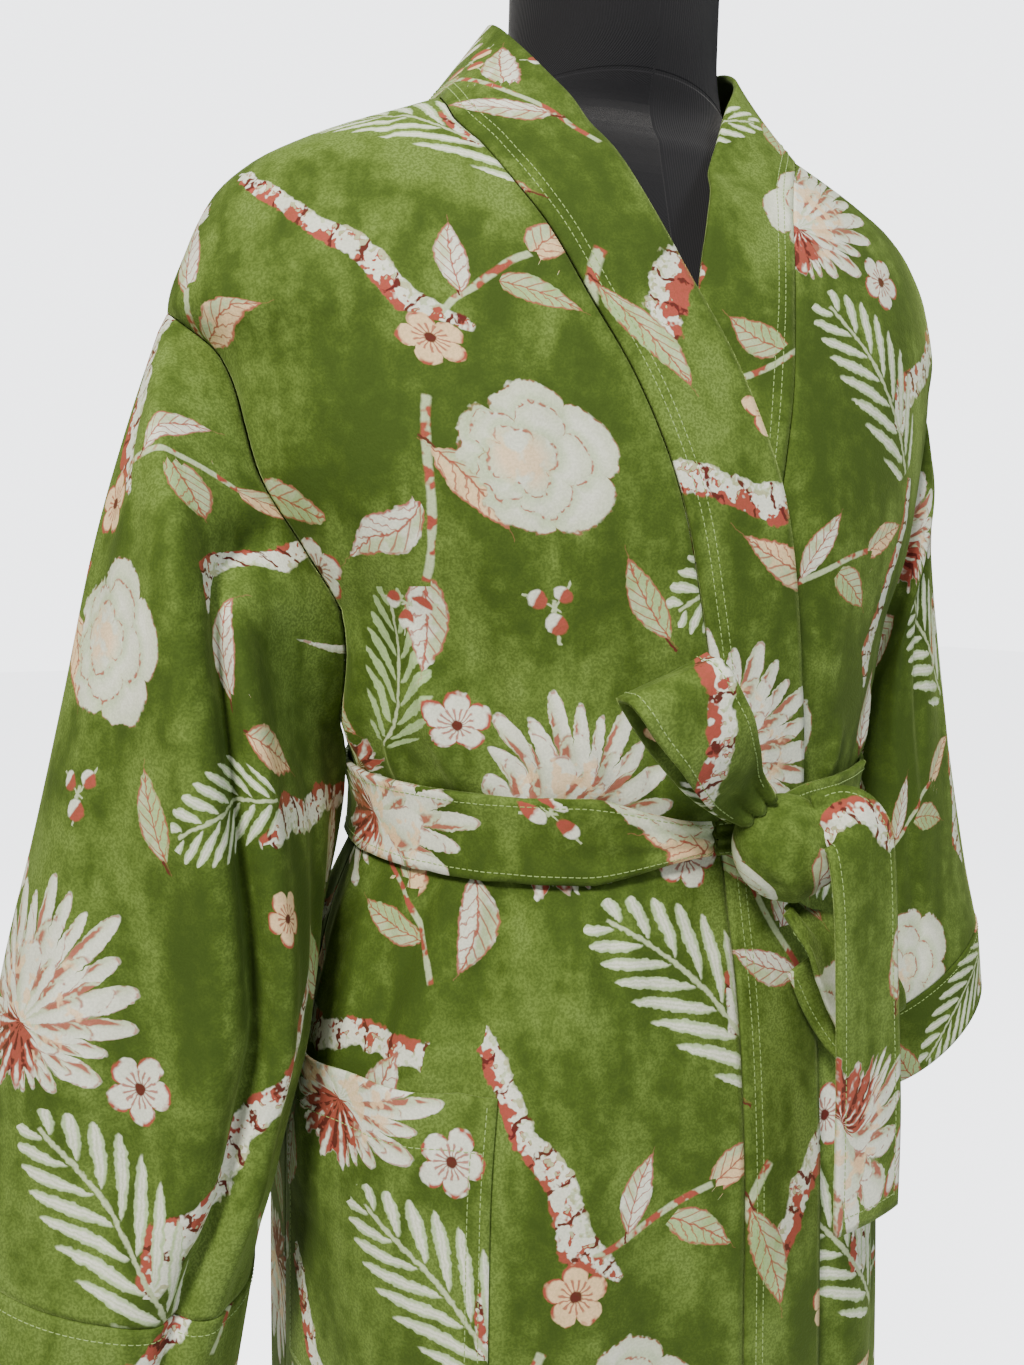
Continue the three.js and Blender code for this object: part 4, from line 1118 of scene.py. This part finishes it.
CREAM = srgb("#e3e6d4")
CREAM_SHADE = srgb("#b9c79c")
SAGE = srgb("#a4bf83")
PEACH = srgb("#efcd9e")
BRICK = srgb("#a04a3f")
MAROON = srgb("#5e2222")
GREEN = srgb("#566c27")
# Beside the ground colour: a darker green for painted shade and pile grain, and a lighter green for
# painted sheen
GREEN_PAINTED_SHADE_AND_GRAIN = srgb("#354716")
GREEN_PAINTED_SHEEN = srgb("#829a52")


def motif(tree, name, rough, fine, wobble):
    """A motif's own two directions, a little uneven, whether it is near, and its tone"""
    node = tree.nodes.new("ShaderNodeAttribute")
    node.attribute_name = name
    split = add_node(tree, "ShaderNodeSeparateXYZ", Vector=node.outputs["Vector"])
    a, b, inside = [Value(tree, split.outputs[k]) for k in range(3)]
    a = a + (rough - 0.5) * wobble
    b = b + (fine - 0.5) * wobble
    return a, b, inside.above(0.97, 0.02), Value(tree, node.outputs["Alpha"])


def toned(tree, tone):
    """Cream, peach or sage"""
    warm = blend(tree, tone.above(0.5, 0.1), CREAM, PEACH)
    return blend(tree, tone.above(1.5, 0.1), warm, SAGE)


def round_place(a, b):
    return (a * a + b * b) ** 0.5, b.work("ARCTAN2", a)


def draw_branch(tree, colour, rough, fine):
    """A thick, kinked branch, mottled with brick along one side"""
    a, b, near, _ = motif(tree, "branch", rough, fine, 0.03)
    kink = abs((a * 0.43 + 0.3).part() - 0.5) * 0.62 - 0.15
    side = b - kink - (a * 5 + 0.6).sine() * 0.035 - abs((a * 1.7 + 0.1).part() - 0.5) * 0.08
    thick = 0.074 - a * 0.034 + (rough - 0.5) * 0.09 + abs((a * 0.86 + 0.6).part() - 0.5) * 0.04
    thick = thick * abs(a).below(0.92, 0.4)
    body = (abs(side) - thick).below(0, 0.012) * abs(a).below(1.05, 0.02) * near
    blotch = (rough + side * 2.2 + (a * 3.1).sine() * 0.07).above(0.6, 0.04)
    speck = (fine + rough).above(1.12, 0.04)
    bark = blend(tree, blotch.most(speck).most(a.above(0.86, 0.1)), CREAM, BRICK)
    bark = blend(tree, (fine - side * 2).above(0.66, 0.05) * 0.8, bark, CREAM_SHADE)
    knots = abs((a * 5.2 + rough * 0.8).part() - 0.5).below(0.07, 0.03)
    bark = blend(tree, knots * fine.above(0.42, 0.1), bark, MAROON)
    return blend(tree, body, colour, bark)


def draw_twig(tree, colour, rough, fine):
    a, b, near, _ = motif(tree, "twig", rough, fine, 0.02)
    side = b - (a * 2.6).sine() * 0.05
    line = abs(side).below(0.05, 0.025) * abs(a).below(1.0, 0.03) * near
    return blend(tree, line, colour, blend(tree, rough.above(0.52, 0.06), CREAM_SHADE, BRICK))


def draw_fern(tree, colour, rough, fine):
    """Seven pairs of long leaflets that lean forward from a bent rib"""
    a, b, near, tone = motif(tree, "fern", rough, fine, 0.05)
    b = b - a * a * 0.16 + 0.06
    along = a * 0.5 + 0.5
    reach = (along * (1.08 - along) * 4.0).most(0.0) ** 0.6 * 0.44
    share = abs(b)
    slant = (along - share * 0.7) * 7.0
    out = (share - 0.035).work("DIVIDE", reach.most(0.02))
    wide = ((1 - out) * out).most(0.0) ** 0.75 * 0.98
    across = slant.part() - 0.5
    leaflet = (abs(across) - wide).below(0, 0.07) * out.above(0.0, 0.05) * out.below(0.97, 0.05)
    leaflet = leaflet * along.above(0.02, 0.02)
    rib = abs(b).below(0.02, 0.014) * abs(a).below(0.98, 0.02)
    shade = blend(tree, (abs(across) - wide * 0.5).above(0, 0.1) * 0.8, toned(tree, tone), SAGE)
    shade = blend(tree, abs(across).below(0.04, 0.03) * 0.5, shade, CREAM_SHADE)
    colour = blend(tree, rib * near, colour, CREAM_SHADE)
    return blend(tree, leaflet * near, colour, shade)


def draw_leaf(tree, colour, rough, fine):
    a, b, near, tone = motif(tree, "leaf", rough, fine, 0.12)
    b = b + a * a * 0.1 - 0.04
    along = a * 0.5 + 0.5
    half = (along * (1 - along)).most(0.0) * (1.95 - along * 0.7)
    inner = half - abs(b)
    body = inner.above(0, 0.03) * near
    vein_place = ((along - abs(b) * 0.6) * 6.5 + (fine - 0.5) * 0.35).part()
    veins = abs(vein_place - 0.5).below(0.085, 0.05) * inner.above(0.05, 0.04)
    rib = (abs(b) - 0.02).below(0, 0.015)
    edge = inner.below(0.045, 0.03) * rough.above(0.4, 0.15)
    ground = blend(tree, b.above(0, 0.2) * rough.above(0.42, 0.2), toned(tree, tone), CREAM_SHADE)
    ground = blend(tree, veins * 0.75, ground, BRICK)
    ground = blend(tree, (edge.most(rib)) * 0.9, ground, BRICK)
    colour = blend(tree, body, colour, ground)
    stalk = abs(b - 0.06).below(0.03, 0.02) * a.below(-0.93, 0.02) * near
    return blend(tree, stalk, colour, MAROON)


def draw_flower(tree, colour, rough, fine):
    """A chrysanthemum seen from its side: layers of narrow petals fan out from a small base"""
    a, b, near, tone = motif(tree, "flower", rough, fine, 0.05)
    r, turn = round_place(a + 0.4, b)
    lean = turn.cosine() * 0.44 + 0.92
    ground = toned(tree, tone)
    body = None
    for count, reach, phase, notch in (
        (25, 1.0, 0.0, 0.34), (19, 0.78, 0.4, 0.3), (13, 0.54, 0.15, 0.26),
    ):
        wave = (turn * 2 + phase * 9).sine() * 0.5 + (turn * 5 + phase * 5).sine() * 0.16
        place = turn * (count / (2 * math.pi)) + wave + phase
        across = place.part()
        petal = abs(across * 2 - 1)
        own = ((place - across) * 2.4).sine() * 0.09
        size = (1 - petal ** 2.2 * notch + own) * lean * reach
        layer = (r - size).below(0, 0.025)
        if body is None:
            body = layer * near
        tint = blend(tree, across.above(0.6, 0.25) * 0.75, toned(tree, tone), CREAM_SHADE)
        ground = blend(tree, layer, ground, tint)
        free = (r - size * 0.62).above(0, 0.06) * layer
        between = GREEN if reach == 1.0 else BRICK
        ground = blend(tree, petal.above(0.88, 0.08) * free * 0.8, ground, between)
        stroke = across.above(0.68, 0.08) * across.below(0.96, 0.06) * layer
        stroke = stroke * (r - size * 0.55).above(0, 0.05) * (r - size * 0.9).below(0, 0.04)
        stroke = stroke * rough.above(0.36, 0.06)
        tip = (size - r).below(0.03, 0.02) * layer * fine.above(0.5, 0.1) * 0.8
        ground = blend(tree, stroke.most(tip) * 0.9, ground, BRICK)
    glow = (r - lean * 0.62).below(0, 0.1) * rough.above(0.57, 0.05) * 0.8
    ground = blend(tree, glow, ground, PEACH)
    tooth = abs((turn * (13 / (2 * math.pi))).part() * 2 - 1)
    calyx = (r + turn.cosine() * 0.36 + tooth * 0.2 - rough * 0.3 - 0.16).below(0, 0.03) * near
    strokes = blend(tree, tooth.above(0.62, 0.2) * fine.above(0.42, 0.1), BRICK, MAROON)
    strokes = blend(tree, tooth.below(0.25, 0.2) * rough.above(0.5, 0.1), strokes, CREAM)
    ground = blend(tree, calyx, ground, strokes)
    return blend(tree, body.most(calyx), colour, ground)


def draw_peony(tree, colour, rough, fine):
    a, b, near, tone = motif(tree, "peony", rough, fine, 0.1)
    ground = toned(tree, tone)
    body = None
    for count, reach, lobe, phase, shift in (
        (5, 0.92, 0.2, 0.3, 0.0),
        (5, 0.68, 0.2, 1.4, 0.1),
        (4, 0.4, 0.16, 0.6, 0.18),
    ):
        r, turn = round_place(a + shift, b - shift * 0.6)
        size = abs((turn * (count / 2) + phase).cosine()) ** 0.45 * lobe + reach - lobe
        size = size + (rough - 0.5) * 0.2
        if body is None:
            body = (r - size).below(0, 0.03) * near
        shade = (size - r).above(0.0, 0.03) * (size - r).below(0.12, 0.2) * 0.55
        outside = (r - size).above(0.0, 0.02) * (r - size).below(0.1, 0.12) * 0.5
        ground = blend(tree, outside, ground, SAGE)
        ground = blend(tree, shade * rough.above(0.4, 0.2), ground, CREAM_SHADE)
        line = abs(r - size).below(0.014, 0.016) * fine.above(0.48, 0.12)
        ground = blend(tree, line * 0.9, ground, BRICK)
    middle = round_place(a + 0.2, b - 0.12)[0]
    warm = middle.below(0.3, 0.2) * rough.above(0.45, 0.1)
    ground = blend(tree, warm * 0.8, ground, PEACH)
    return blend(tree, body, colour, ground)


def draw_blossom(tree, colour, rough, fine):
    a, b, near, tone = motif(tree, "blossom", rough, fine, 0.14)
    r, turn = round_place(a, b)
    size = abs((turn * 2.5).cosine()) ** 0.45 * 0.42 + 0.52
    body = (r - size).below(0, 0.05) * near
    stamens = abs((turn * (15 / (2 * math.pi))).part() - 0.5).below(0.2, 0.1)
    stamens = stamens * (r - 0.5).below(0, 0.05) * r.above(0.16, 0.05)
    ground = blend(tree, (size - r).below(0.1, 0.08) * rough.above(0.45, 0.1), toned(tree, tone), BRICK)
    ground = blend(tree, stamens * 0.8, ground, BRICK)
    ground = blend(tree, r.below(0.17, 0.06), ground, MAROON)
    return blend(tree, body, colour, ground)


def draw_berries(tree, colour, rough, fine):
    a, b, near, tone = motif(tree, "berries", rough, fine, 0.16)
    for x, y, size in ((-0.5, 0.1, 0.34), (0.35, 0.42, 0.3), (0.4, -0.4, 0.27)):
        r = round_place(a - x, b - y)[0]
        stem = abs(b - a * (y / x)).below(0.05, 0.04) * r.above(size, 0.1) * r.below(0.75, 0.05)
        colour = blend(tree, stem * near, colour, CREAM_SHADE)
        berry = blend(tree, (a - x + b - y).above(0.05, 0.1), BRICK, toned(tree, tone))
        colour = blend(tree, r.below(size, 0.06) * near, colour, berry)
    return colour


def empty_material(name):
    material = bpy.data.materials.new(name)
    material.use_nodes = True
    material.node_tree.nodes.clear()
    return material, material.node_tree


def with_surface(tree, **inputs):
    """The one surface of a material"""
    surface = add_node(tree, "ShaderNodeBsdfPrincipled", **inputs)
    end = tree.nodes.new("ShaderNodeOutputMaterial")
    tree.links.new(surface.outputs[0], end.inputs[0])


def velvet(name):
    """Cotton velvet: a short pile, with painted sheen and painted shade in broad patches and upright
    streaks where the pile would catch the light
    """
    material, tree = empty_material(name)
    place = tree.nodes.new("ShaderNodeTexCoord").outputs["Object"]
    # Painted sheen and painted shade: broad patches and upright streaks of noise that make the green
    # lighter in some places and darker in others
    broad_sheen_and_shade = noise(tree, place, 120, 1, 0.8)
    upright = add_node(tree, "ShaderNodeMapping", Vector=place, Scale=(1, 1, 0.3)).outputs[0]
    upright_sheen_and_shade_streaks = noise(tree, upright, 22, 2, 0.4)
    rough = noise(tree, place, 9, 2)
    fine = noise(tree, place, 3.2, 1)
    pile = noise(tree, place, 1.2, 1)
    sheen_and_shade_patches = broad_sheen_and_shade * 0.45 + upright_sheen_and_shade_streaks * 0.35 + rough * 0.2
    # Painted shade where the patches are low and painted sheen where they are high; the fine pile
    # flecks after them are grain
    ground = blend(tree, sheen_and_shade_patches.above(0.49, 0.15) * 0.85 + 0.15, GREEN_PAINTED_SHADE_AND_GRAIN, GREEN)
    ground = blend(tree, sheen_and_shade_patches.above(0.55, 0.14) * 0.4, ground, GREEN_PAINTED_SHEEN)
    ground = blend(tree, pile.above(0.5, 0.16) * 0.4, ground, GREEN_PAINTED_SHADE_AND_GRAIN)
    for draw in (
        draw_branch, draw_twig, draw_fern, draw_leaf, draw_berries, draw_blossom, draw_peony,
        draw_flower,
    ):
        ground = draw(tree, ground, rough, fine)
    # Painted shade: where the sheen and shade patches are low, the ground and the print are darkened a
    # little
    painted_shade_over_print = blend(tree, (1 - sheen_and_shade_patches).above(0.52, 0.2) * 0.22, ground, GREEN_PAINTED_SHADE_AND_GRAIN)
    speckled = blend(tree, pile.above(0.5, 0.16) * 0.12, painted_shade_over_print, GREEN_PAINTED_SHADE_AND_GRAIN)
    height = pile * 0.5 + fine * 0.5
    bump = add_node(tree, "ShaderNodeBump", Strength=0.5, Distance=0.0008, Height=height)
    with_surface(
        tree, Base_Color=speckled, Roughness=0.85, Specular_IOR_Level=0.12, Sheen_Weight=0.28,
        Sheen_Roughness=0.35, Sheen_Tint=srgb("#bcd67e"), Normal=bump.outputs[0],
    )
    return material


def simple(name, colour, roughness, metallic=0.0, specular=0.5, sheen=0.0):
    material, tree = empty_material(name)
    with_surface(
        tree, Base_Color=srgb(colour), Roughness=roughness, Metallic=metallic,
        Specular_IOR_Level=specular, Sheen_Weight=sheen,
    )
    return material


def surface_of(material):
    return next(n for n in material.node_tree.nodes if n.type == "BSDF_PRINCIPLED")


def ribbed(name):
    """Black jersey with fine upright ribs, and the form's two seams"""
    rib_pitch_mm = 1.5
    neck_seam_height = NECK_SEAM_HEIGHT / 1000
    material = simple(name, "#111114", 0.8, 0.0, 0.2, 0.12)
    tree = material.node_tree
    cut = add_node(tree, "ShaderNodeUVMap")
    cut.uv_map = "cut"
    split = add_node(tree, "ShaderNodeSeparateXYZ", Vector=cut.outputs[0])
    across = Value(tree, split.outputs[0]) * (2000 * math.pi / rib_pitch_mm)
    place = tree.nodes.new("ShaderNodeTexCoord").outputs["Object"]
    spot = add_node(tree, "ShaderNodeSeparateXYZ", Vector=place)
    x, y, z = [Value(tree, spot.outputs[k]) for k in range(3)]
    neck_seam = abs(z + y * 0.25 - neck_seam_height).below(0.0009, 0.0006)
    front_seam = abs(x).below(0.0007, 0.0005) * y.below(0, 0.001)
    height = across.sine() * 0.5 - neck_seam.most(front_seam) * 2
    bump = add_node(tree, "ShaderNodeBump", Strength=0.6, Distance=0.0003, Height=height)
    set_input(tree, surface_of(material).inputs["Normal"], bump.outputs[0])
    return material


def seen_by_camera(tree):
    """1 for what the camera sees itself, 0 for light that falls on something"""
    return Value(tree, tree.nodes.new("ShaderNodeLightPath").outputs[0])


def pale_floor(name):
    """A floor as light as the room behind, that doesn't light the part from below"""
    material = simple(name, "#f4f4f6", 0.9, 0.0, 0.1)
    tree = material.node_tree
    surface = surface_of(material)
    set_input(tree, surface.inputs["Emission Color"], srgb(ROOM_COLOUR))
    set_input(tree, surface.inputs["Emission Strength"], seen_by_camera(tree) * FLOOR_AS_SEEN)
    return material


VELVET = velvet("printed cotton velvet")
VELVET_BACK = simple("plain velvet back", "#6d7f4c", 0.9, 0.0, 0.1)
THREAD = simple("cotton thread", "#8fa866", 0.7, 0.0, 0.2)
FORM_CLOTH = ribbed("ribbed black jersey")
STEEL = simple("satin black paint", "#17171a", 0.38, 0.0, 0.5)

RIGHT_BAND = neckband(-1, RIGHT_EDGE, no_depth)
LEFT_BAND = neckband(1, LEFT_EDGE, under_depth)
RIGHT_SLEEVE_SHAPE = sleeve(-1, RIGHT_SLEEVE, RIGHT_SLEEVE_FOLDS)
LEFT_SLEEVE_SHAPE = sleeve(1, LEFT_SLEEVE, LEFT_SLEEVE_FOLDS)
RIGHT_CUFF_SHAPE = cuff(-1, RIGHT_SLEEVE, RIGHT_SLEEVE_FOLDS)
LEFT_CUFF_SHAPE = cuff(1, LEFT_SLEEVE, LEFT_SLEEVE_FOLDS)
UPPER_LOOP_SHAPE = strip(UPPER_LOOP, 1.6)
LOWER_LOOP_SHAPE = strip(LOWER_LOOP, 1.6)
TAIL_SHAPE = strip(TAIL, 1.2, -1.0)


def build_robe():
    """Every sewn piece, by the name of the solid that it stands for"""
    return {
        "front_right": sewn("robe_front_right", right_front, (84, 300), 1.0, (150, 40)),
        "front_left": sewn("robe_front_left", left_front, (76, 280), 0.0, (60, 190)),
        "back": sewn("robe_back", back, (130, 290), 0.5, (0, 110)),
        "sleeve_right": sewn("robe_sleeve_right", RIGHT_SLEEVE_SHAPE, (130, 130), 0.5, (20, 250)),
        "sleeve_left": sewn("robe_sleeve_left", LEFT_SLEEVE_SHAPE, (120, 120), 0.5, (200, 70)),
        "cuff_right": sewn("robe_cuff_right", RIGHT_CUFF_SHAPE, (130, 16), 0.5, (90, 330), BAND_WALL),
        "cuff_left": sewn("robe_cuff_left", LEFT_CUFF_SHAPE, (120, 16), 0.5, (250, 10), BAND_WALL),
        "neckband_right": sewn(
            "robe_neckband_right", RIGHT_BAND, (16, 400), 0.5, (250, 60), BAND_WALL
        ),
        "neckband_left": sewn("robe_neckband_left", LEFT_BAND, (14, 360), 0.5, (130, 300), BAND_WALL),
        "pocket_right": sewn("robe_pocket", pocket, (36, 60), 1.0, (150, 210), POCKET_WALL),
        "belt_waist": sewn(
            "belt_waist", waist_belt, (300, 14), 0.0, (40, 130), BELT_WALL, -1.0, True
        ),
        "belt_knot": sewn("belt_knot", knot, (64, 48), 0.0, (60, 60), 0.8),
        "belt_loop_upper": sewn(
            "belt_loop_upper", UPPER_LOOP_SHAPE, (20, 60), 0.0, (200, 300), STRIP_WALL, 0.0, inside=0
        ),
        "belt_loop_lower": sewn(
            "belt_loop_lower", LOWER_LOOP_SHAPE, (20, 60), 0.0, (90, 20), STRIP_WALL, 0.0, inside=0
        ),
        "belt_tail": sewn(
            "belt_tail", TAIL_SHAPE, (20, 90), 0.0, (20, 220), STRIP_WALL, 0.0, inside=0
        ),
    }


def build_form():
    """The dress form and its stand"""
    top = read(FORM, "z", FORM["z"].max())
    cap_height = NECK_CAP_TOP - float(FORM["z"].max())
    cap = [
        (0, SEAM_GAP), (0.98, SEAM_GAP), (1, SEAM_GAP + 0.5), (1.02, 4), (1.02, 6),
        (1, 8), (0.95, cap_height - 0.8), (0.9, cap_height), (0, cap_height),
    ]
    base_top = BASE_THICKNESS + BOSS_HEIGHT
    base = [
        (0, 0), (BASE_RADIUS - 4, 0), (BASE_RADIUS - 1, 1), (BASE_RADIUS, 3),
        (BASE_RADIUS, BASE_THICKNESS - 5), (BASE_RADIUS - 2, BASE_THICKNESS - 2),
        (BASE_RADIUS - 6, BASE_THICKNESS), (BOSS_RADIUS + 10, BASE_THICKNESS + 2),
        (BOSS_RADIUS + 3, BASE_THICKNESS + 4), (BOSS_RADIUS, BASE_THICKNESS + 8),
        (BOSS_RADIUS - 8, base_top - 7), (BOSS_RADIUS - 9, base_top - 2),
        (BOSS_RADIUS - 12, base_top), (0, base_top),
    ]
    pole_top = FORM_BOTTOM - SEAM_GAP
    pole_bottom = base_top + SEAM_GAP
    pole = [
        (0, pole_bottom), (POLE_RADIUS - 0.5, pole_bottom), (POLE_RADIUS, pole_bottom + 0.5),
        (POLE_RADIUS, pole_top - 0.5), (POLE_RADIUS - 0.5, pole_top), (0, pole_top),
    ]
    torso, u, v, points = grid("form_torso_cloth", 96, 170, form_torso)
    torso.data.materials.append(FORM_CLOTH)
    cut_map(torso, *laid_flat(u, v, points, 96, 170, 0.0))
    half, front, behind = [float(top[name]) for name in ("half", "front", "back")]
    cap_shape = lathe(cap, half, (front + behind) / 2, (behind - front) / 2, float(top["z"]))
    return {
        "form_torso": torso,
        "form_neck_cap": plain("form_neck_disc", cap_shape, (72, 30), STEEL),
        "stand_pole": plain("form_pole", lathe(pole), (40, 40), STEEL),
        "stand_base": plain("form_base", lathe(base), (96, 60), STEEL),
    }


def sew_topstitching():
    """Rows of stitches along the seams, hems and edges, for each piece they are sewn on"""
    rows = {}

    def row(node, name, shape, start, end):
        rows.setdefault(node, []).append(stitches(f"stitch_{name}", shape, start, end))

    for side, band, cuff_shape, seam, inner in (
        ("right", RIGHT_BAND, RIGHT_CUFF_SHAPE, 0.88, 0.80),
        ("left", LEFT_BAND, LEFT_CUFF_SHAPE, 0.12, 0.20),
    ):
        for place, at in (("seam", seam), ("inner", inner)):
            row(f"neckband_{side}", f"band_{side}_{place}", band, (at, 0.02), (at, 1.0))
        row(f"cuff_{side}", f"cuff_{side}", cuff_shape, (0.0, 0.86), (1.0, 0.86))
    for place, start, end in (
        ("hem", (0.03, 0.86), (0.97, 0.86)),
        ("front", (0.97, 0.02), (0.97, 0.98)),
        ("front_inner", (0.93, 0.02), (0.93, 0.86)),
        ("back", (0.03, 0.02), (0.03, 0.98)),
        ("bottom", (0.03, 0.02), (0.97, 0.02)),
    ):
        row("pocket_right", f"pocket_{place}", pocket, start, end)
    for place, at in (("top", 0.9), ("bottom", 0.1)):
        row("belt_waist", f"belt_{place}", waist_belt, (0.0, at), (1.0, at))
    strips = {
        "belt_loop_upper": UPPER_LOOP_SHAPE,
        "belt_loop_lower": LOWER_LOOP_SHAPE,
        "belt_tail": TAIL_SHAPE,
    }
    for node, shape in strips.items():
        for side, place in (("near", 0.1), ("far", 0.9)):
            row(node, f"{node}_{side}", outer_face(shape), (place, 0.06), (place, 0.98))
    row("belt_tail", "tail_end", outer_face(TAIL_SHAPE), (0.1, 0.975), (0.9, 0.975))
    for node, shape in (("front_right", right_front), ("front_left", left_front), ("back", back)):
        row(node, f"hem_{node}", shape, (0.0, 0.022), (1.0, 0.022))
    return rows


def outer_face(shape):
    """The outer face of a strip whose shape is its middle layer"""
    def face(u, v):
        return shape(u, v) + facing(shape, u, v) * STRIP_WALL / 2

    return face


def light(name, place, size, power, colour):
    """A lamp that shines at the middle of the robe"""
    data = bpy.data.lights.new(name, "AREA")
    data.shape = "RECTANGLE"
    data.size, data.size_y = size
    data.energy = power
    data.color = srgb(colour)[:3]
    lamp = placed(name, data)
    lamp.location = place
    direction = np.subtract(LIGHTS_LOOK_AT, place)
    lamp.rotation_euler = (
        math.atan2(math.hypot(direction[0], direction[1]), -direction[2]),
        0,
        math.atan2(direction[1], direction[0]) - math.pi / 2,
    )


def set_stage():
    """A plain pale floor, soft light and a camera at the photograph's angle"""
    floor = placed("floor", plain_grid("floor", 1, 1, 15))
    floor.data.materials.append(pale_floor("pale floor"))
    light("key", (-1.3, -1.4, 2.7), (0.5, 0.5), 98, "#fffaf2")
    light("fill", (1.4, -2.0, 2.7), (1.0, 1.0), 36, "#f2f6ff")
    light("back", (0.4, 2.2, 2.6), (1.6, 1.0), 35, "#ffffff")
    world = bpy.data.worlds.new("pale room")
    bpy.context.scene.world = world
    world.use_nodes = True
    tree = world.node_tree
    backdrop = next(node for node in tree.nodes if node.type == "BACKGROUND")
    set_input(tree, backdrop.inputs["Color"], srgb(ROOM_COLOUR))
    strength = seen_by_camera(tree) * ROOM_AS_SEEN + ROOM_LIGHT
    set_input(tree, backdrop.inputs["Strength"], strength)
    data = bpy.data.cameras.new("camera")
    data.sensor_width = SENSOR_WIDTH
    data.lens = CAMERA_LENS
    camera = placed("camera", data)
    camera.location = CAMERA_PLACE
    turn = -math.radians(CAMERA_TURNS_RIGHT)
    camera.rotation_euler = (math.radians(90 - CAMERA_LOOKS_DOWN), 0, turn)
    bpy.context.scene.camera = camera


robe = build_robe()
form = build_form()
threads = sew_topstitching()
for node, piece in {**robe, **form}.items():
    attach(piece, "root")
    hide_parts(node)
for rows in threads.values():
    for piece in rows:
        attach(piece, "root")

set_stage()
